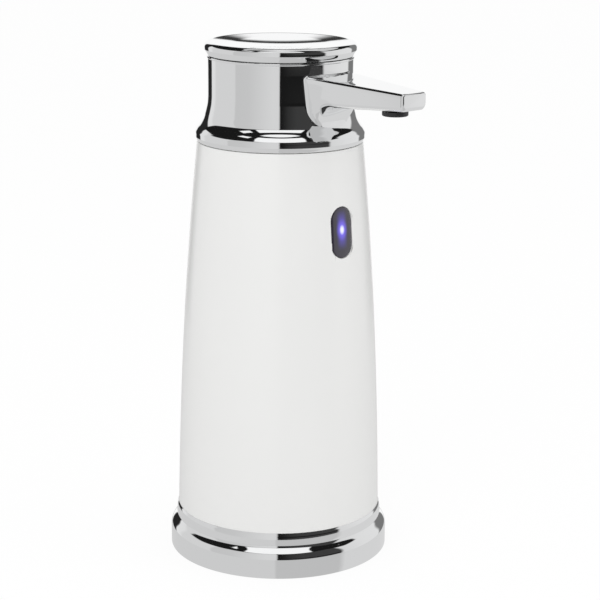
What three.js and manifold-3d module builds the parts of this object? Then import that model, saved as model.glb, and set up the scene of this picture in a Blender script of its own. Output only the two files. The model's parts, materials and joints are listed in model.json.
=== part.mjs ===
// Automatic soap dispenser: a tapered white body on a chrome base ring, with a chrome head, spout and lid.
// Millimetres, +Z up. The origin is on the body's axis, level with the worktop, and the spout points along -Y.
import * as THREE from 'three';
import { mergeVertices } from 'three/addons/utils/BufferGeometryUtils.js';
import Module from 'manifold-3d';

const wasm = await Module();
wasm.setup();

// Fits between pieces
const seatGap = 0.3;
const runningGap = 0.08;
const overrun = 2;

// How finely round forms are faceted
const roundSides = 24;
const mediumSides = 14;
const smallSides = 12;
const postSides = 8;
const screwSides = 6;
const cornerSteps = 2;
const leadSteps = 6;
const turnSteps = 4;

// Four cells side by side, which the whole base is built round
const cellRadius = 7.15;
const cellLength = 49.2;
const cellRound = 0.7;
const cellNubRadius = 2.7;
const cellNubHeight = 1.3;
const cellSpacing = 0.5;
const cellPlaceShares = [-1.5, -0.5, 0.5, 1.5];
const cellLift = 0.35;
const contactRoom = 3.8;
const contactThickness = 0.5;
const contactHalfHeight = 5;
const contactHalfWidth = 4.6;
const springTurns = 2.5;
const springWire = 0.4;
const springFootRadius = 3.6;
const springTipRadius = 2;
const springLength = 1.7;
const bayWall = 1.2;
const bayCeiling = 1.2;

// Foot ring and base plate
const footPadInset = 1.4;
const footPadWidth = 2;
const footPadHeight = 2.4;
const plateUnderside = 1.2;
const plateTop = 6.6;
const plateRimWall = 1.8;

// Base ring
const footProud = 0.2;
const footRound = 0.6;
const lowerBandTop = 7.9;
const ringStep = 1.9;
const ringShoulderRise = 6.4;
const ringGroove = 1.1;
const ringGrooveRise = 0.45;
const upperBandRise = 1.7;
const crownRadius = 8;
const crownRise = 3.5;
const crownEdge = 0.6;
const ringLip = 0.05;
const ringSkirtWall = 2.2;
const ringShelfRise = 3.7;
const ringShelfThickness = 2.6;
const ringLedgeDrop = 1.3;

// White body
const bodyRise = 168.8;
const bodyShoulderRadius = 37.05;
const bodyWall = 2.2;
const bodyFootWall = 1.3;
const bodyFootStep = 1.5;
const taperStraightShare = 0.35;
const taperPower = 2.2;
const spigotStep = 2.25;
const spigotWall = 1.7;
const spigotRise = 4.8;
const bossRadius = 3.4;
const bossHeight = 19;
const ribThickness = 2;

// Head: collar, bead and neck
const collarProud = 0.15;
const beadProud = 0.9;
const beadLowRise = 2.2;
const beadHighRise = 4.8;
const beadRound = 1.1;
const beadTurnShare = 0.8;
const flareFootRise = 6.2;
const flareHeight = 18.4;
const flarePower = 3.8;
const flareSpacingPower = 1.6;
const neckWaist = 4.6;
const neckHeight = 31.6;
const neckWall = 2.15;
const neckLipProud = 0.35;
const neckLipThickness = 0.9;

// Spout along -Y
const spoutLength = 49.7;
const spoutBow = 1.1;
const spoutTipHalfWidth = 7;
const spoutRootHalfWidth = 14.1;
const spoutRootInset = 3.15;
const spoutStartInset = 5.45;
const spoutTopStep = 5.7;
const spoutTopDrop = 2.8;
const spoutDepth = 12;
const spoutUndersideRise = 1.9;
const spoutArchStart = 12.55;
const spoutArchReach = 12;
const spoutArchRise = 10.7;
const spoutEdgeRadius = 0.9;
const spoutUnderRadius = 2;
const spoutGussetRadius = 6.5;
const spoutGussetStep = 2;
const spoutTipRadius = 1.8;
const spoutTipTurnShare = 0.8;
const spoutTipDrawShare = 0.3;
const spoutWall = 1.1;
const spoutSideWall = 1.7;
const channelDrop = 1;
const channelPastNozzle = 5.3;

// Nozzle under the spout
const nozzleInset = 11.95;
const nozzleRadius = 5.55;
const nozzleDepth = 2;
const nozzleRound = 0.5;
const nozzleStemRadius = 2.4;
const nozzleStemRise = 0.9;
const nozzleBore = 1.1;
const valveRadius = 2.8;
const valveThickness = 0.9;
const valveSlit = 0.5;

// Lid
const lidFootProud = 0.2;
const lidFlareProud = 1.2;
const lidFlareRise = 2.3;
const lidFlarePower = 1.6;
const lidRimCorner = 0.4;
const lidRimProud = 0.1;
const lidRimFace = 0.9;
const lidRollReach = 1.95;
const lidRollRise = 2.2;
const lidSlopeWidth = 11;
const lidSlopeDrop = 0.5;
const lidDishDepth = 1.2;
const lidWall = 2;
const lidBandWall = 1.5;
const plugGap = 1.2;
const plugWall = 1.8;
const plugDepth = 9.8;
const sealSection = 0.85;
const sealGroove = 1.1;
const sealAboveFoot = 3.3;

// Sensor window and what looks out of it
const windowHeight = 22.8;
const windowWidth = 12.7;
const windowDrop = 35.7;
const lensRecess = 0.35;
const lensFlange = 1.4;
const lensFlangeThickness = 1;
const holderDepth = 3.2;
const eyePitch = 6.4;
const eyeRadius = 1.5;
const eyeLength = 3.6;
const eyeFlange = 0.35;
const eyeFlangeThickness = 0.7;
const boardThickness = 1.6;
const sensorBoardHalfWidth = 8;
const sensorBoardHeight = 30;

// Soap tank and its filling collar
const tankClearance = 1.2;
const tankWall = 1.8;
const tankLift = 0.9;
const tankShoulderDrop = 13.1;
const tankShoulderOver = 1.9;
const tankNeckInset = 7.85;
const tankNeckDrop = 0.7;
const tankFlatInset = 9.15;
const tankOutletDrop = 5;
const fillSkirtWall = 1.6;
const fillSkirtHeight = 10.3;
const fillFlangeStep = 0.2;
const fillFlangeDrop = 4.9;
const fillFlangeThickness = 2;

// Battery door, its hinge and its lock
const doorOverlap = 2;
const doorCorner = 8;
const doorThickness = 2;
const doorGap = 0.4;
const doorHingeGap = 1.1;
const doorTabRadius = 6.4;
const doorTabStep = 4;
const hingeStep = 1.9;
const hingeRise = 1.55;
const hingePinRadius = 0.9;
const hingePinLength = 12;
const knuckleRadius = 1.5;
const knuckleLength = 7;
const knuckleGap = 0.5;
const hingeSpread = 11;
const sealWidth = 1.4;
const sealThickness = 0.9;
const lockRadius = 4;
const lockHeadThickness = 1.2;
const lockShankRadius = 2;
const lockWingLength = 4;
const lockWingWidth = 2.2;
const lockWingThickness = 1;
const lockLip = 1;
const lockChamber = 1.6;
const lockSlotWidth = 1.4;
const lockSlotDepth = 0.6;

// Power button on the underside
const buttonX = 14.4;
const buttonStep = 4.5;
const buttonRadius = 3.5;
const buttonRound = 0.5;
const buttonUnderside = 1.5;
const buttonTravel = 1.5;
const buttonFlange = 1;
const buttonFlangeThickness = 1;
const switchHalfWidth = 3;
const switchHeight = 3.4;
const plungerRadius = 1.4;
const plungerLength = 2.8;
const switchBoardHalfWidth = 7;
const switchBoardHalfLength = 3;
const standoffRadius = 1.1;

// Chassis that carries the drive and the tank
const chassisThickness = 3.2;
const postRadius = 2.6;
const postInset = 5;
const postAngles = [-35, 60, 195].map(THREE.MathUtils.degToRad);
const gearPlateRim = 0.6;
const gearPlateOffset = 1;
const gearPlateLift = 1.8;
const gearPlateThickness = 2;
const gearPostRadius = 2.8;
const gearPostCircle = 27.6;
const gearPostAngles = [-90, -35, 90].map(THREE.MathUtils.degToRad);

// Gear train and gear pump
const driveModule = 0.8;
const pinionTeeth = 10;
const wheelTeeth = 36;
const smallTeeth = 12;
const driveTeeth = 32;
const pumpModule = 1.25;
const pumpTeeth = 12;
const pressureAngle = THREE.MathUtils.degToRad(20);
const addendumShare = 0.86;
const dedendumShare = 1.25;
const driveBacklash = 0.12;
const pumpBacklash = 0.16;
const trainY = 2;
const wheelLift = 1.6;
const wheelThickness = 3;
const smallGearLength = 5.2;
const gearStep = 0.8;
const driveThickness = 3.8;
const pinionOverhang = 0.5;
const axleRadius = 1.5;
const axleBossRadius = 3;
const motorShaftRadius = 1;
const motorShaftDepth = 7.7;
const pumpShaftRadius = 2;
const bearingDepth = 1.8;
const motorRadius = 10.2;
const motorFlat = 7.7;
const motorLength = 24.4;
const motorBossRadius = 3;
const motorBossHeight = 1.4;
const terminalWidth = 1.8;
const terminalHeight = 2.4;
const terminalThickness = 0.5;
const terminalSpread = 5;
const pumpLineAngle = THREE.MathUtils.degToRad(60);
const pumpFloor = 2.2;
const rotorHeight = 7;
const pumpShell = 2.2;
const pumpCover = 2.4;
const pumpEarRadius = 2.6;
const pumpEarReach = 12.6;
const portReach = 6.2;
const inletRadius = 2.3;
const inletBore = 1.5;
const outletRadius = 1;
const outletBore = 0.55;
const barbHeight = 5.2;

// Tubes and leads
const suctionWall = 1.2;
const deliveryRadius = 2.05;
const deliveryBore = 1.3;
const deliveryStandoff = 2.5;
const deliveryCrossingDrop = 4.8;
const deliveryRunX = 13.2;
const deliveryRunDrop = 21.1;
const deliveryMiddleOver = 1.4;
const deliveryNeckOver = 10.9;
const deliverySpoutRise = 6;
const deliveryBend = 4.6;
const deliveryEndBend = 2.6;
const leadRadius = 1;
const leadInset = 2.6;
const leadRise = 22.6;
const leadSweep = [115, 246].map(THREE.MathUtils.degToRad);
const leadStartX = 10;
const leadRiseX = 12;
const leadEndX = 6;
const leadTurnRise = 15;
const leadTurnDrop = 25.4;

// Control board
const mainBoardInset = 6.4;
const mainBoardHalfWidth = 17;
const mainBoardHeight = 30;
const railHeight = 4;
const railWall = 1.2;
const railHalfWidth = 11;
const chipHalfWidth = 3.8;
const chipThickness = 1.3;

// Screws
const screwRadius = 1.2;
const screwHeadRadius = 2.5;
const screwHeadHeight = 1.5;
const screwSocket = 0.8;
const baseScrewAngles = [-90, 0, 180].map(THREE.MathUtils.degToRad);

// Colours and finishes
const finishes = {
  chrome: { color: 0xd8d9da, roughness: 0.06, metalness: 1 },
  whiteBody: { color: 0xe8e8e6, roughness: 0.42, metalness: 0 },
  blackPlastic: { color: 0x202124, roughness: 0.5, metalness: 0 },
  greyPlastic: { color: 0x5d6064, roughness: 0.55, metalness: 0 },
  acetal: { color: 0xe9e6dc, roughness: 0.4, metalness: 0 },
  tank: { color: 0xdfe6e8, roughness: 0.25, metalness: 0 },
  rubber: { color: 0x2b2b2c, roughness: 0.85, metalness: 0 },
  silicone: { color: 0xd9dcdb, roughness: 0.5, metalness: 0 },
  darkLens: { color: 0x3b3648, roughness: 0.12, metalness: 0 },
  led: { color: 0x4a4dff, roughness: 0.2, metalness: 0 },
  board: { color: 0x1d5a36, roughness: 0.6, metalness: 0 },
  steel: { color: 0xb9bbbd, roughness: 0.3, metalness: 1 },
  cell: { color: 0x3a3f48, roughness: 0.35, metalness: 0 },
  lead: { color: 0x303034, roughness: 0.6, metalness: 0 },
};

// Heights and places that follow from the sizes above
const quarterTurn = Math.PI / 2;
const facetShare = Math.cos(Math.PI / roundSides);

// The base, from the cells outwards
const cellPitch = 2 * cellRadius + cellSpacing;
const bayHalfWidth = 2 * cellPitch + seatGap;
const bayHalfLength = cellLength / 2 + contactRoom;
const bayCorner = Math.hypot(bayHalfWidth + bayWall, bayHalfLength + bayWall);
const bodyFootInner = (bayCorner + seatGap) / facetShare;
const bodyFootOuter = bodyFootInner + bodyFootWall;
const bodyFootRadius = bodyFootOuter + bodyFootStep;
const ringInner = bodyFootRadius + seatGap;
const ringSocket = bodyFootOuter + seatGap;
const ringShelfRadius = bodyFootInner + seatGap;
const crownAngle = Math.asin(crownRise / crownRadius);
const crownTop = ringInner + ringLip + crownEdge * Math.cos(crownAngle);
const upperBandRadius = crownTop + crownRadius * (1 - Math.cos(crownAngle));
const grooveRadius = upperBandRadius - ringGroove;
const footRadius = upperBandRadius + ringStep;
const skirtInner = footRadius - ringSkirtWall;
const plateRadius = skirtInner - seatGap;
const footPadOuter = skirtInner - footPadInset;
const footPadInner = footPadOuter - footPadWidth;
const chassisRadius = bodyFootInner - seatGap;
const postCircle = bodyFootInner - postInset;
const mainBoardReach = bodyFootInner - mainBoardInset;
const leadCircle = mainBoardReach - leadInset;
const doorHalfWidth = bayHalfWidth + doorOverlap;
const doorHalfLength = bayHalfLength + doorOverlap;
const doorTabReach = doorHalfLength + doorTabStep;
const hingeReach = doorHalfLength + hingeStep;
const buttonY = doorHalfLength + buttonStep;

// Heights of the ring, the body and the head
const ringShoulderTop = lowerBandTop + ringShoulderRise;
const upperBandBottom = ringShoulderTop + ringGrooveRise;
const upperBandTop = upperBandBottom + upperBandRise;
const seamHeight = upperBandTop + crownRise + crownEdge * (1 - Math.sin(crownAngle));
const ringLedge = seamHeight - ringLedgeDrop;
const ringShelfHeight = lowerBandTop + ringShelfRise;
const bodyFoot = ringShelfHeight + seatGap;
const bodyLedge = ringLedge + seatGap;
const shoulderHeight = seamHeight + bodyRise;
const spigotTop = shoulderHeight + spigotRise;
const collarSeam = shoulderHeight + seatGap;
const beadLow = collarSeam + beadLowRise;
const beadHigh = collarSeam + beadHighRise;
const flareFootHeight = collarSeam + flareFootRise;
const flareTopHeight = flareFootHeight + flareHeight;
const neckTop = flareFootHeight + neckHeight;
const windowCentre = shoulderHeight - windowDrop;
const tankShoulderStart = shoulderHeight - tankShoulderDrop;
const tankShoulderEnd = shoulderHeight + tankShoulderOver;
const fillFlangeBottom = neckTop - fillFlangeDrop;
const tankNeckTop = fillFlangeBottom - tankNeckDrop;
const plugFoot = neckTop - plugDepth;
const fillSkirtFoot = fillFlangeBottom - fillSkirtHeight;
const lidFoot = neckTop + seatGap;
const lidFlareTop = lidFoot + lidFlareRise;
const lidRimFoot = lidFlareTop + lidRimCorner;
const lidRimTop = lidRimFoot + lidRimFace;
const lidTopHeight = lidRimTop + lidRollRise;

// Radii and reaches of the head, from the body's shoulder
const spigotRadius = bodyShoulderRadius - spigotStep;
const collarFootRadius = bodyShoulderRadius + collarProud;
const beadRadius = bodyShoulderRadius + beadProud;
const neckRadius = bodyShoulderRadius - neckWaist;
const neckLipRadius = neckRadius + neckLipProud;
const lidFootRadius = neckRadius + lidFootProud;
const lidFlareRadius = lidFootRadius + lidFlareProud;
const lidRimRadius = lidFlareRadius + lidRimProud;
const lidRollRadius = lidRimRadius - lidRollReach;
const lidDishRadius = lidRollRadius - lidSlopeWidth;
const fillFlangeRadius = neckRadius - neckWall + fillFlangeStep;
const tankNeckRadius = neckRadius - tankNeckInset;
const tankFlatReach = bodyShoulderRadius - tankFlatInset;
const fillInner = tankNeckRadius - tankWall - seatGap - fillSkirtWall;
const plugRadius = fillInner - plugGap;
const spoutReach = neckRadius + spoutLength;
const spoutRootReach = neckRadius - spoutRootInset;
const spoutStart = neckRadius - spoutStartInset;
const spoutArchEnd = neckRadius + spoutArchStart;
const spoutGussetEnd = spoutArchEnd - spoutGussetStep;
const nozzleReach = spoutReach - nozzleInset;
const channelEnd = nozzleReach + channelPastNozzle;
const spoutTopAtRoot = neckTop - spoutTopStep;
const spoutArchTop = spoutTopAtRoot - spoutDepth;
const spoutTipBottom = spoutArchTop + spoutUndersideRise;
const channelFloor = spoutArchTop - channelDrop;

// A reach that lies outside the body all round, for cuts that run out through its wall
const clearReach = bodyFootRadius + bodyShoulderRadius;

// Heights inside the base and of the drive
const doorTop = plateUnderside + doorThickness;
const hingeHeight = plateUnderside + hingeRise;
const recessTop = doorTop + sealThickness + 2 * seatGap;
const cellHeight = recessTop + cellLift + cellRadius;
const padTop = cellHeight - cellRadius - seatGap;
const bayTop = cellHeight + cellRadius + seatGap;
const lockTop = recessTop + lockLip + seatGap + lockWingThickness;
const chassisBottom = bayTop + bayCeiling + seatGap;
const chassisTop = chassisBottom + chassisThickness;
const wheelBottom = chassisTop + wheelLift;
const smallGearBottom = wheelBottom + wheelThickness;
const smallGearTop = smallGearBottom + smallGearLength;
const driveBottom = smallGearBottom + gearStep;
const gearPlateBottom = smallGearTop + gearPlateLift;
const gearPlateTop = gearPlateBottom + gearPlateThickness;
const gearPlateRadius = gearPostCircle + gearPostRadius + gearPlateRim;
const axleBottom = chassisTop - bearingDepth;
const axleTop = gearPlateTop - seatGap;
const motorX = driveModule * (pinionTeeth + wheelTeeth) / 2;
const pumpX = -driveModule * (smallTeeth + driveTeeth) / 2;
const pumpSpacing = pumpModule * pumpTeeth;
const idlerX = pumpX + pumpSpacing * Math.cos(pumpLineAngle);
const idlerY = trainY + pumpSpacing * Math.sin(pumpLineAngle);
const pumpMidX = (pumpX + idlerX) / 2;
const pumpMidY = (trainY + idlerY) / 2;
const portAngle = pumpLineAngle + quarterTurn;
const [portStepX, portStepY] = polar(portReach, portAngle);
const inletX = pumpMidX + portStepX;
const inletY = pumpMidY + portStepY;
const outletX = pumpMidX - portStepX;
const outletY = pumpMidY - portStepY;
const [earStepX, earStepY] = polar(pumpEarReach, portAngle);
const pumpBottom = gearPlateTop + seatGap;
const chamberBottom = pumpBottom + pumpFloor;
const rotorBottom = chamberBottom + seatGap;
const rotorTop = rotorBottom + rotorHeight;
const chamberTop = rotorTop + seatGap;
const coverBottom = chamberTop + seatGap;
const coverTop = coverBottom + pumpCover;
const rotorTip = pumpModule * (pumpTeeth / 2 + addendumShare);
const chamberRadius = rotorTip + seatGap;
const motorBottom = gearPlateTop + seatGap;
const motorTop = motorBottom + motorLength;
const motorShaftTop = motorBottom + motorShaftDepth;
const tankFloor = motorTop + terminalHeight + tankLift;
const switchBoardBottom = switchRise();

// Where the delivery tube and the sensor's lead run
const deliveryCrossing = tankFloor - deliveryCrossingDrop;
const deliveryRunReach = tankFlatReach + deliveryStandoff;
const deliveryNeckReach = tankNeckRadius + deliveryStandoff;
const deliveryRunTop = shoulderHeight - deliveryRunDrop;
const deliveryMiddle = shoulderHeight + deliveryMiddleOver;
const deliveryNeckFoot = shoulderHeight + deliveryNeckOver;
const deliverySpoutHeight = spoutArchTop + deliverySpoutRise;
const leadHeight = chassisTop + leadRise;
const leadTurnLow = leadHeight + leadTurnRise;
const leadTurnHigh = windowCentre - leadTurnDrop;

function polar(radius, angle) {
  return [radius * Math.cos(angle), radius * Math.sin(angle)];
}

function switchRise() {
  const flangeTop = plateTop + seatGap + buttonFlangeThickness;
  return flangeTop + buttonTravel + seatGap + switchHeight;
}

const dispenser = new THREE.Group();

function signedVolume(positions, indices) {
  let total = 0;
  const [a, b, c] = [new THREE.Vector3(), new THREE.Vector3(), new THREE.Vector3()];
  for (let k = 0; k < indices.length; k += 3) {
    a.fromArray(positions, 3 * indices[k]);
    b.fromArray(positions, 3 * indices[k + 1]);
    c.fromArray(positions, 3 * indices[k + 2]);
    total += a.dot(b.cross(c));
  }
  return total;
}

// A closed geometry as a solid that can be joined and cut, its faces pointing out.
function solid(geometry) {
  const bare = geometry.clone();
  bare.deleteAttribute('normal');
  bare.deleteAttribute('uv');
  const merged = mergeVertices(bare);
  const indices = [];
  for (let k = 0; k < merged.index.count; k += 3) {
    const [p, q, r] = [merged.index.getX(k), merged.index.getX(k + 1), merged.index.getX(k + 2)];
    if (p !== q && q !== r && r !== p) indices.push(p, q, r);
  }
  const vertProperties = new Float32Array(merged.attributes.position.array);
  if (signedVolume(vertProperties, indices) < 0) indices.reverse();
  return new wasm.Manifold(new wasm.Mesh({
    numProp: 3,
    vertProperties,
    triVerts: new Uint32Array(indices),
  }));
}

function surface(body) {
  const mesh = body.getMesh();
  const geometry = new THREE.BufferGeometry();
  geometry.setAttribute('position', new THREE.BufferAttribute(mesh.vertProperties, mesh.numProp));
  geometry.setIndex(new THREE.BufferAttribute(mesh.triVerts, 1));
  const faceted = geometry.toNonIndexed();
  faceted.computeVertexNormals();
  return faceted;
}

function addPart(name, body, finish, x = 0, y = 0, z = 0) {
  const mesh = new THREE.Mesh(surface(body), new THREE.MeshStandardMaterial(finishes[finish]));
  mesh.name = name;
  mesh.position.set(x, y, z);
  dispenser.add(mesh);
}

// A profile of [radius, height] points turned round the Z axis.
function revolve(profile, sides = roundSides) {
  const outline = profile.map(([radius, height]) => new THREE.Vector2(radius, height));
  if (profile[0][0] > 0) outline.push(outline[0].clone());
  return solid(new THREE.LatheGeometry(outline, sides).rotateX(quarterTurn));
}

// Points of an elliptical arc in a profile, about a centre, from one angle to another.
function arc(centreRadius, centreHeight, radial, axial, from, to, steps) {
  return Array.from({ length: steps + 1 }, (_, k) => {
    const angle = THREE.MathUtils.lerp(from, to, k / steps);
    return [centreRadius + radial * Math.cos(angle), centreHeight + axial * Math.sin(angle)];
  });
}

function spread(from, to, steps) {
  return Array.from({ length: steps + 1 }, (_, k) => THREE.MathUtils.lerp(from, to, k / steps));
}

function rod(radius, bottom, top, x = 0, y = 0, sides = smallSides) {
  const height = top - bottom;
  const geometry = new THREE.CylinderGeometry(radius, radius, height, sides).rotateX(quarterTurn);
  return solid(geometry.translate(x, y, bottom + height / 2));
}

// A round bar along X or Y between two places on that axis.
function barX(radius, from, to, y, z, sides = smallSides) {
  const length = to - from;
  const geometry = new THREE.CylinderGeometry(radius, radius, length, sides).rotateZ(quarterTurn);
  return solid(geometry.translate(from + length / 2, y, z));
}

function barY(radius, from, to, x, z, sides = smallSides) {
  const length = to - from;
  const geometry = new THREE.CylinderGeometry(radius, radius, length, sides);
  return solid(geometry.translate(x, from + length / 2, z));
}

function block(low, high) {
  const size = high.map((value, k) => value - low[k]);
  const centre = high.map((value, k) => (value + low[k]) / 2);
  return solid(new THREE.BoxGeometry(...size).translate(...centre));
}

function extruded(shape, bottom, top, curveSegments = smallSides / 2) {
  const options = { depth: top - bottom, bevelEnabled: false, curveSegments };
  return solid(new THREE.ExtrudeGeometry(shape, options).translate(0, 0, bottom));
}

function roundedRectangle(halfX, halfY, corner) {
  const shape = new THREE.Shape();
  shape.absarc(halfX - corner, -halfY + corner, corner, -quarterTurn, 0);
  shape.absarc(halfX - corner, halfY - corner, corner, 0, quarterTurn);
  shape.absarc(-halfX + corner, halfY - corner, corner, quarterTurn, 2 * quarterTurn);
  shape.absarc(-halfX + corner, -halfY + corner, corner, 2 * quarterTurn, 3 * quarterTurn);
  return shape;
}

// A capsule prism on the sensor window's centre line, between two distances in front of the body's axis.
function capsule(halfWidth, halfHeight, nearReach, farReach) {
  const straight = halfHeight - halfWidth;
  const shape = new THREE.Shape();
  shape.absarc(0, straight, halfWidth, 0, 2 * quarterTurn);
  shape.absarc(0, -straight, halfWidth, 2 * quarterTurn, 4 * quarterTurn);
  const options = { depth: farReach - nearReach, bevelEnabled: false, curveSegments: smallSides / 2 };
  const geometry = new THREE.ExtrudeGeometry(shape, options).rotateX(quarterTurn);
  return solid(geometry.translate(0, -nearReach, windowCentre));
}

// A route's places, with each corner that has a bend radius after its coordinates rounded to it.
function rounded(corners, steps) {
  const places = corners.map(([x, y, z]) => new THREE.Vector3(x, y, z));
  return corners.flatMap(([, , , bend], k) => {
    if (!bend) return [places[k]];
    const back = places[k - 1].clone().sub(places[k]).normalize();
    const ahead = places[k + 1].clone().sub(places[k]).normalize();
    const reach = bend / Math.tan(back.angleTo(ahead) / 2);
    const enter = back.multiplyScalar(reach).add(places[k]);
    const leave = ahead.multiplyScalar(reach).add(places[k]);
    return new THREE.QuadraticBezierCurve3(enter, places[k], leave).getPoints(steps);
  });
}

// A round tube, or a solid lead where the bore is zero, with one ring at each place of its route.
function tube(places, outer, bore, sides) {
  const last = places.length - 1;
  const route = new THREE.Curve();
  route.getPointAt = (share) => places[Math.round(share * last)].clone();
  route.getTangentAt = (share) => {
    const k = Math.round(share * last);
    const [next, previous] = [Math.min(k + 1, last), Math.max(k - 1, 0)];
    const ahead = places[next].clone().sub(places[next - 1]).normalize();
    return ahead.add(places[previous + 1].clone().sub(places[previous]).normalize()).normalize();
  };
  const shape = new THREE.Shape();
  shape.absarc(0, 0, outer, 0, 4 * quarterTurn);
  if (bore > 0) {
    const hole = new THREE.Path();
    hole.absarc(0, 0, bore, 0, 4 * quarterTurn, true);
    shape.holes.push(hole);
  }
  const options = { extrudePath: route, steps: last, bevelEnabled: false, curveSegments: sides / 2 };
  return solid(new THREE.ExtrudeGeometry(shape, options));
}

// The body's outer radius at a height: straight below the seam, then tapering more and more towards the top.
function bodyRadius(height) {
  const climb = THREE.MathUtils.clamp((height - seamHeight) / (shoulderHeight - seamHeight), 0, 1);
  const taper = taperStraightShare * climb + (1 - taperStraightShare) * climb ** taperPower;
  return bodyFootRadius - (bodyFootRadius - bodyShoulderRadius) * taper;
}

// A skin that follows the body's outside between two depths, for pieces that sit in or behind the wall.
function bodySkin(depth, thickness) {
  const stations = spread(seamHeight, shoulderHeight, 4);
  const outer = stations.map((height) => [bodyRadius(height) - depth, height]);
  const inner = stations.map((height) => [bodyRadius(height) - depth - thickness, height]);
  return revolve([...outer, ...inner.reverse()]);
}

function makeBaseRing() {
  const profile = [
    ...arc(footRadius - footRound, footProud + footRound, footRound, footRound, -quarterTurn, 0, 1),
    ...arc(grooveRadius, lowerBandTop, footRadius - grooveRadius, ringShoulderRise, 0, quarterTurn, 2),
    [grooveRadius, upperBandBottom],
    [upperBandRadius, upperBandBottom],
    ...arc(upperBandRadius - crownRadius, upperBandTop, crownRadius, crownRadius, 0, crownAngle, 1),
    [ringInner + ringLip, seamHeight],
    [ringInner, seamHeight],
    [ringInner, ringLedge],
    [ringSocket, ringLedge],
    [ringSocket, ringShelfHeight],
    [ringShelfRadius, ringShelfHeight],
    [ringShelfRadius, ringShelfHeight - ringShelfThickness],
    [skirtInner, ringShelfHeight - ringShelfThickness],
    [skirtInner, footProud],
  ];
  addPart('base_ring', revolve(profile), 'chrome');
}

function makeBody() {
  const outer = spread(seamHeight, shoulderHeight, 4).map((height) => [bodyRadius(height), height]);
  const chamferTop = seamHeight + bodyFootRadius - bodyWall - bodyFootInner;
  const inner = spread(chamferTop, shoulderHeight - bodyWall, 4)
    .map((height) => [bodyRadius(height) - bodyWall, height]);
  const spigotInner = spigotRadius - spigotWall;
  const shell = revolve([
    [bodyFootInner, bodyFoot],
    [bodyFootOuter, bodyFoot],
    [bodyFootOuter, bodyLedge],
    [bodyFootRadius, bodyLedge],
    ...outer,
    [spigotRadius, shoulderHeight],
    [spigotRadius, spigotTop],
    [spigotInner, spigotTop],
    [spigotInner, shoulderHeight],
    ...inner.reverse(),
    [bodyFootInner, seamHeight],
  ]);
  const window = capsule(windowWidth / 2, windowHeight / 2, spigotInner - bodyWall, clearReach);
  let body = shell.subtract(window);
  const bossBottom = chassisTop + seatGap;
  for (const angle of baseScrewAngles) {
    const [x, y] = polar(postCircle, angle);
    const rib = block([0, -ribThickness / 2, bossBottom],
      [bodyFootRadius - bodyWall / 2 - postCircle, ribThickness / 2, bossBottom + bossHeight])
      .rotate([0, 0, THREE.MathUtils.radToDeg(angle)]).translate([x, y, 0]);
    const pilot = rod(screwRadius + seatGap, bossBottom - overrun, bossBottom + bossHeight - bossRadius, x, y,
      screwSides);
    body = body.add(rod(bossRadius, bossBottom, bossBottom + bossHeight, x, y, postSides).add(rib)).subtract(pilot);
  }
  addPart('body_shell', body, 'whiteBody');
}

function neckProfileRadius(height) {
  const climb = THREE.MathUtils.clamp((height - flareFootHeight) / (flareTopHeight - flareFootHeight), 0, 1);
  return neckRadius + (bodyShoulderRadius - neckRadius) * (1 - climb) ** flarePower;
}

// Stations up the neck's flare, closest where it curves most, as radii less an inset and heights.
function flareStations(foot, steps, inset) {
  return spread(0, 1, steps).map((share) => {
    const height = THREE.MathUtils.lerp(foot, flareTopHeight, share ** flareSpacingPower);
    return [neckProfileRadius(height) - inset, height];
  });
}

// Half the spout's width, its top and its underside at a distance from the body's axis.
function spoutHalfWidth(reach) {
  const along = (reach - spoutRootReach) / (spoutReach - spoutRootReach);
  return THREE.MathUtils.lerp(spoutRootHalfWidth, spoutTipHalfWidth, along);
}

function spoutTop(reach) {
  const along = (reach - spoutRootReach) / (spoutReach - spoutRootReach);
  return spoutTopAtRoot - spoutTopDrop * along;
}

function spoutUnderside(reach) {
  if (reach >= spoutArchEnd) {
    const along = (reach - spoutArchEnd) / (spoutReach - spoutArchEnd);
    return THREE.MathUtils.lerp(spoutArchTop, spoutTipBottom, along);
  }
  const back = Math.min((spoutArchEnd - reach) / spoutArchReach, 1);
  return spoutArchTop - spoutArchRise * (1 - Math.sqrt(1 - back * back));
}

// One rounded cross-section of the spout, as points across X and Z.
function spoutSection(halfWidth, low, high, lowRadius, highRadius) {
  const corners = [
    [halfWidth - lowRadius, low + lowRadius, lowRadius, -quarterTurn],
    [halfWidth - highRadius, high - highRadius, highRadius, 0],
    [-halfWidth + highRadius, high - highRadius, highRadius, quarterTurn],
    [-halfWidth + lowRadius, low + lowRadius, lowRadius, 2 * quarterTurn],
  ];
  return corners.flatMap(([x, z, radius, start]) => arc(x, z, radius, radius, start, start + quarterTurn, 2));
}

// A closed loft through sections that all have the same number of points, each at a distance along -Y.
function loft(sections) {
  const count = sections[0].ring.length;
  const positions = [];
  const indices = [];
  for (const { reach, ring } of sections) {
    for (const [x, z, bow = 0] of ring) positions.push(x, -reach - bow, z);
  }
  for (let s = 0; s + 1 < sections.length; s += 1) {
    for (let k = 0; k < count; k += 1) {
      const next = (k + 1) % count;
      const [a, b] = [s * count + k, s * count + next];
      indices.push(a, b, a + count, b, b + count, a + count);
    }
  }
  const last = (sections.length - 1) * count;
  for (let k = 1; k + 1 < count; k += 1) {
    indices.push(0, k + 1, k, last, last + k, last + k + 1);
  }
  const geometry = new THREE.BufferGeometry();
  geometry.setAttribute('position', new THREE.Float32BufferAttribute(positions, 3));
  geometry.setIndex(indices);
  return solid(geometry);
}

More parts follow.
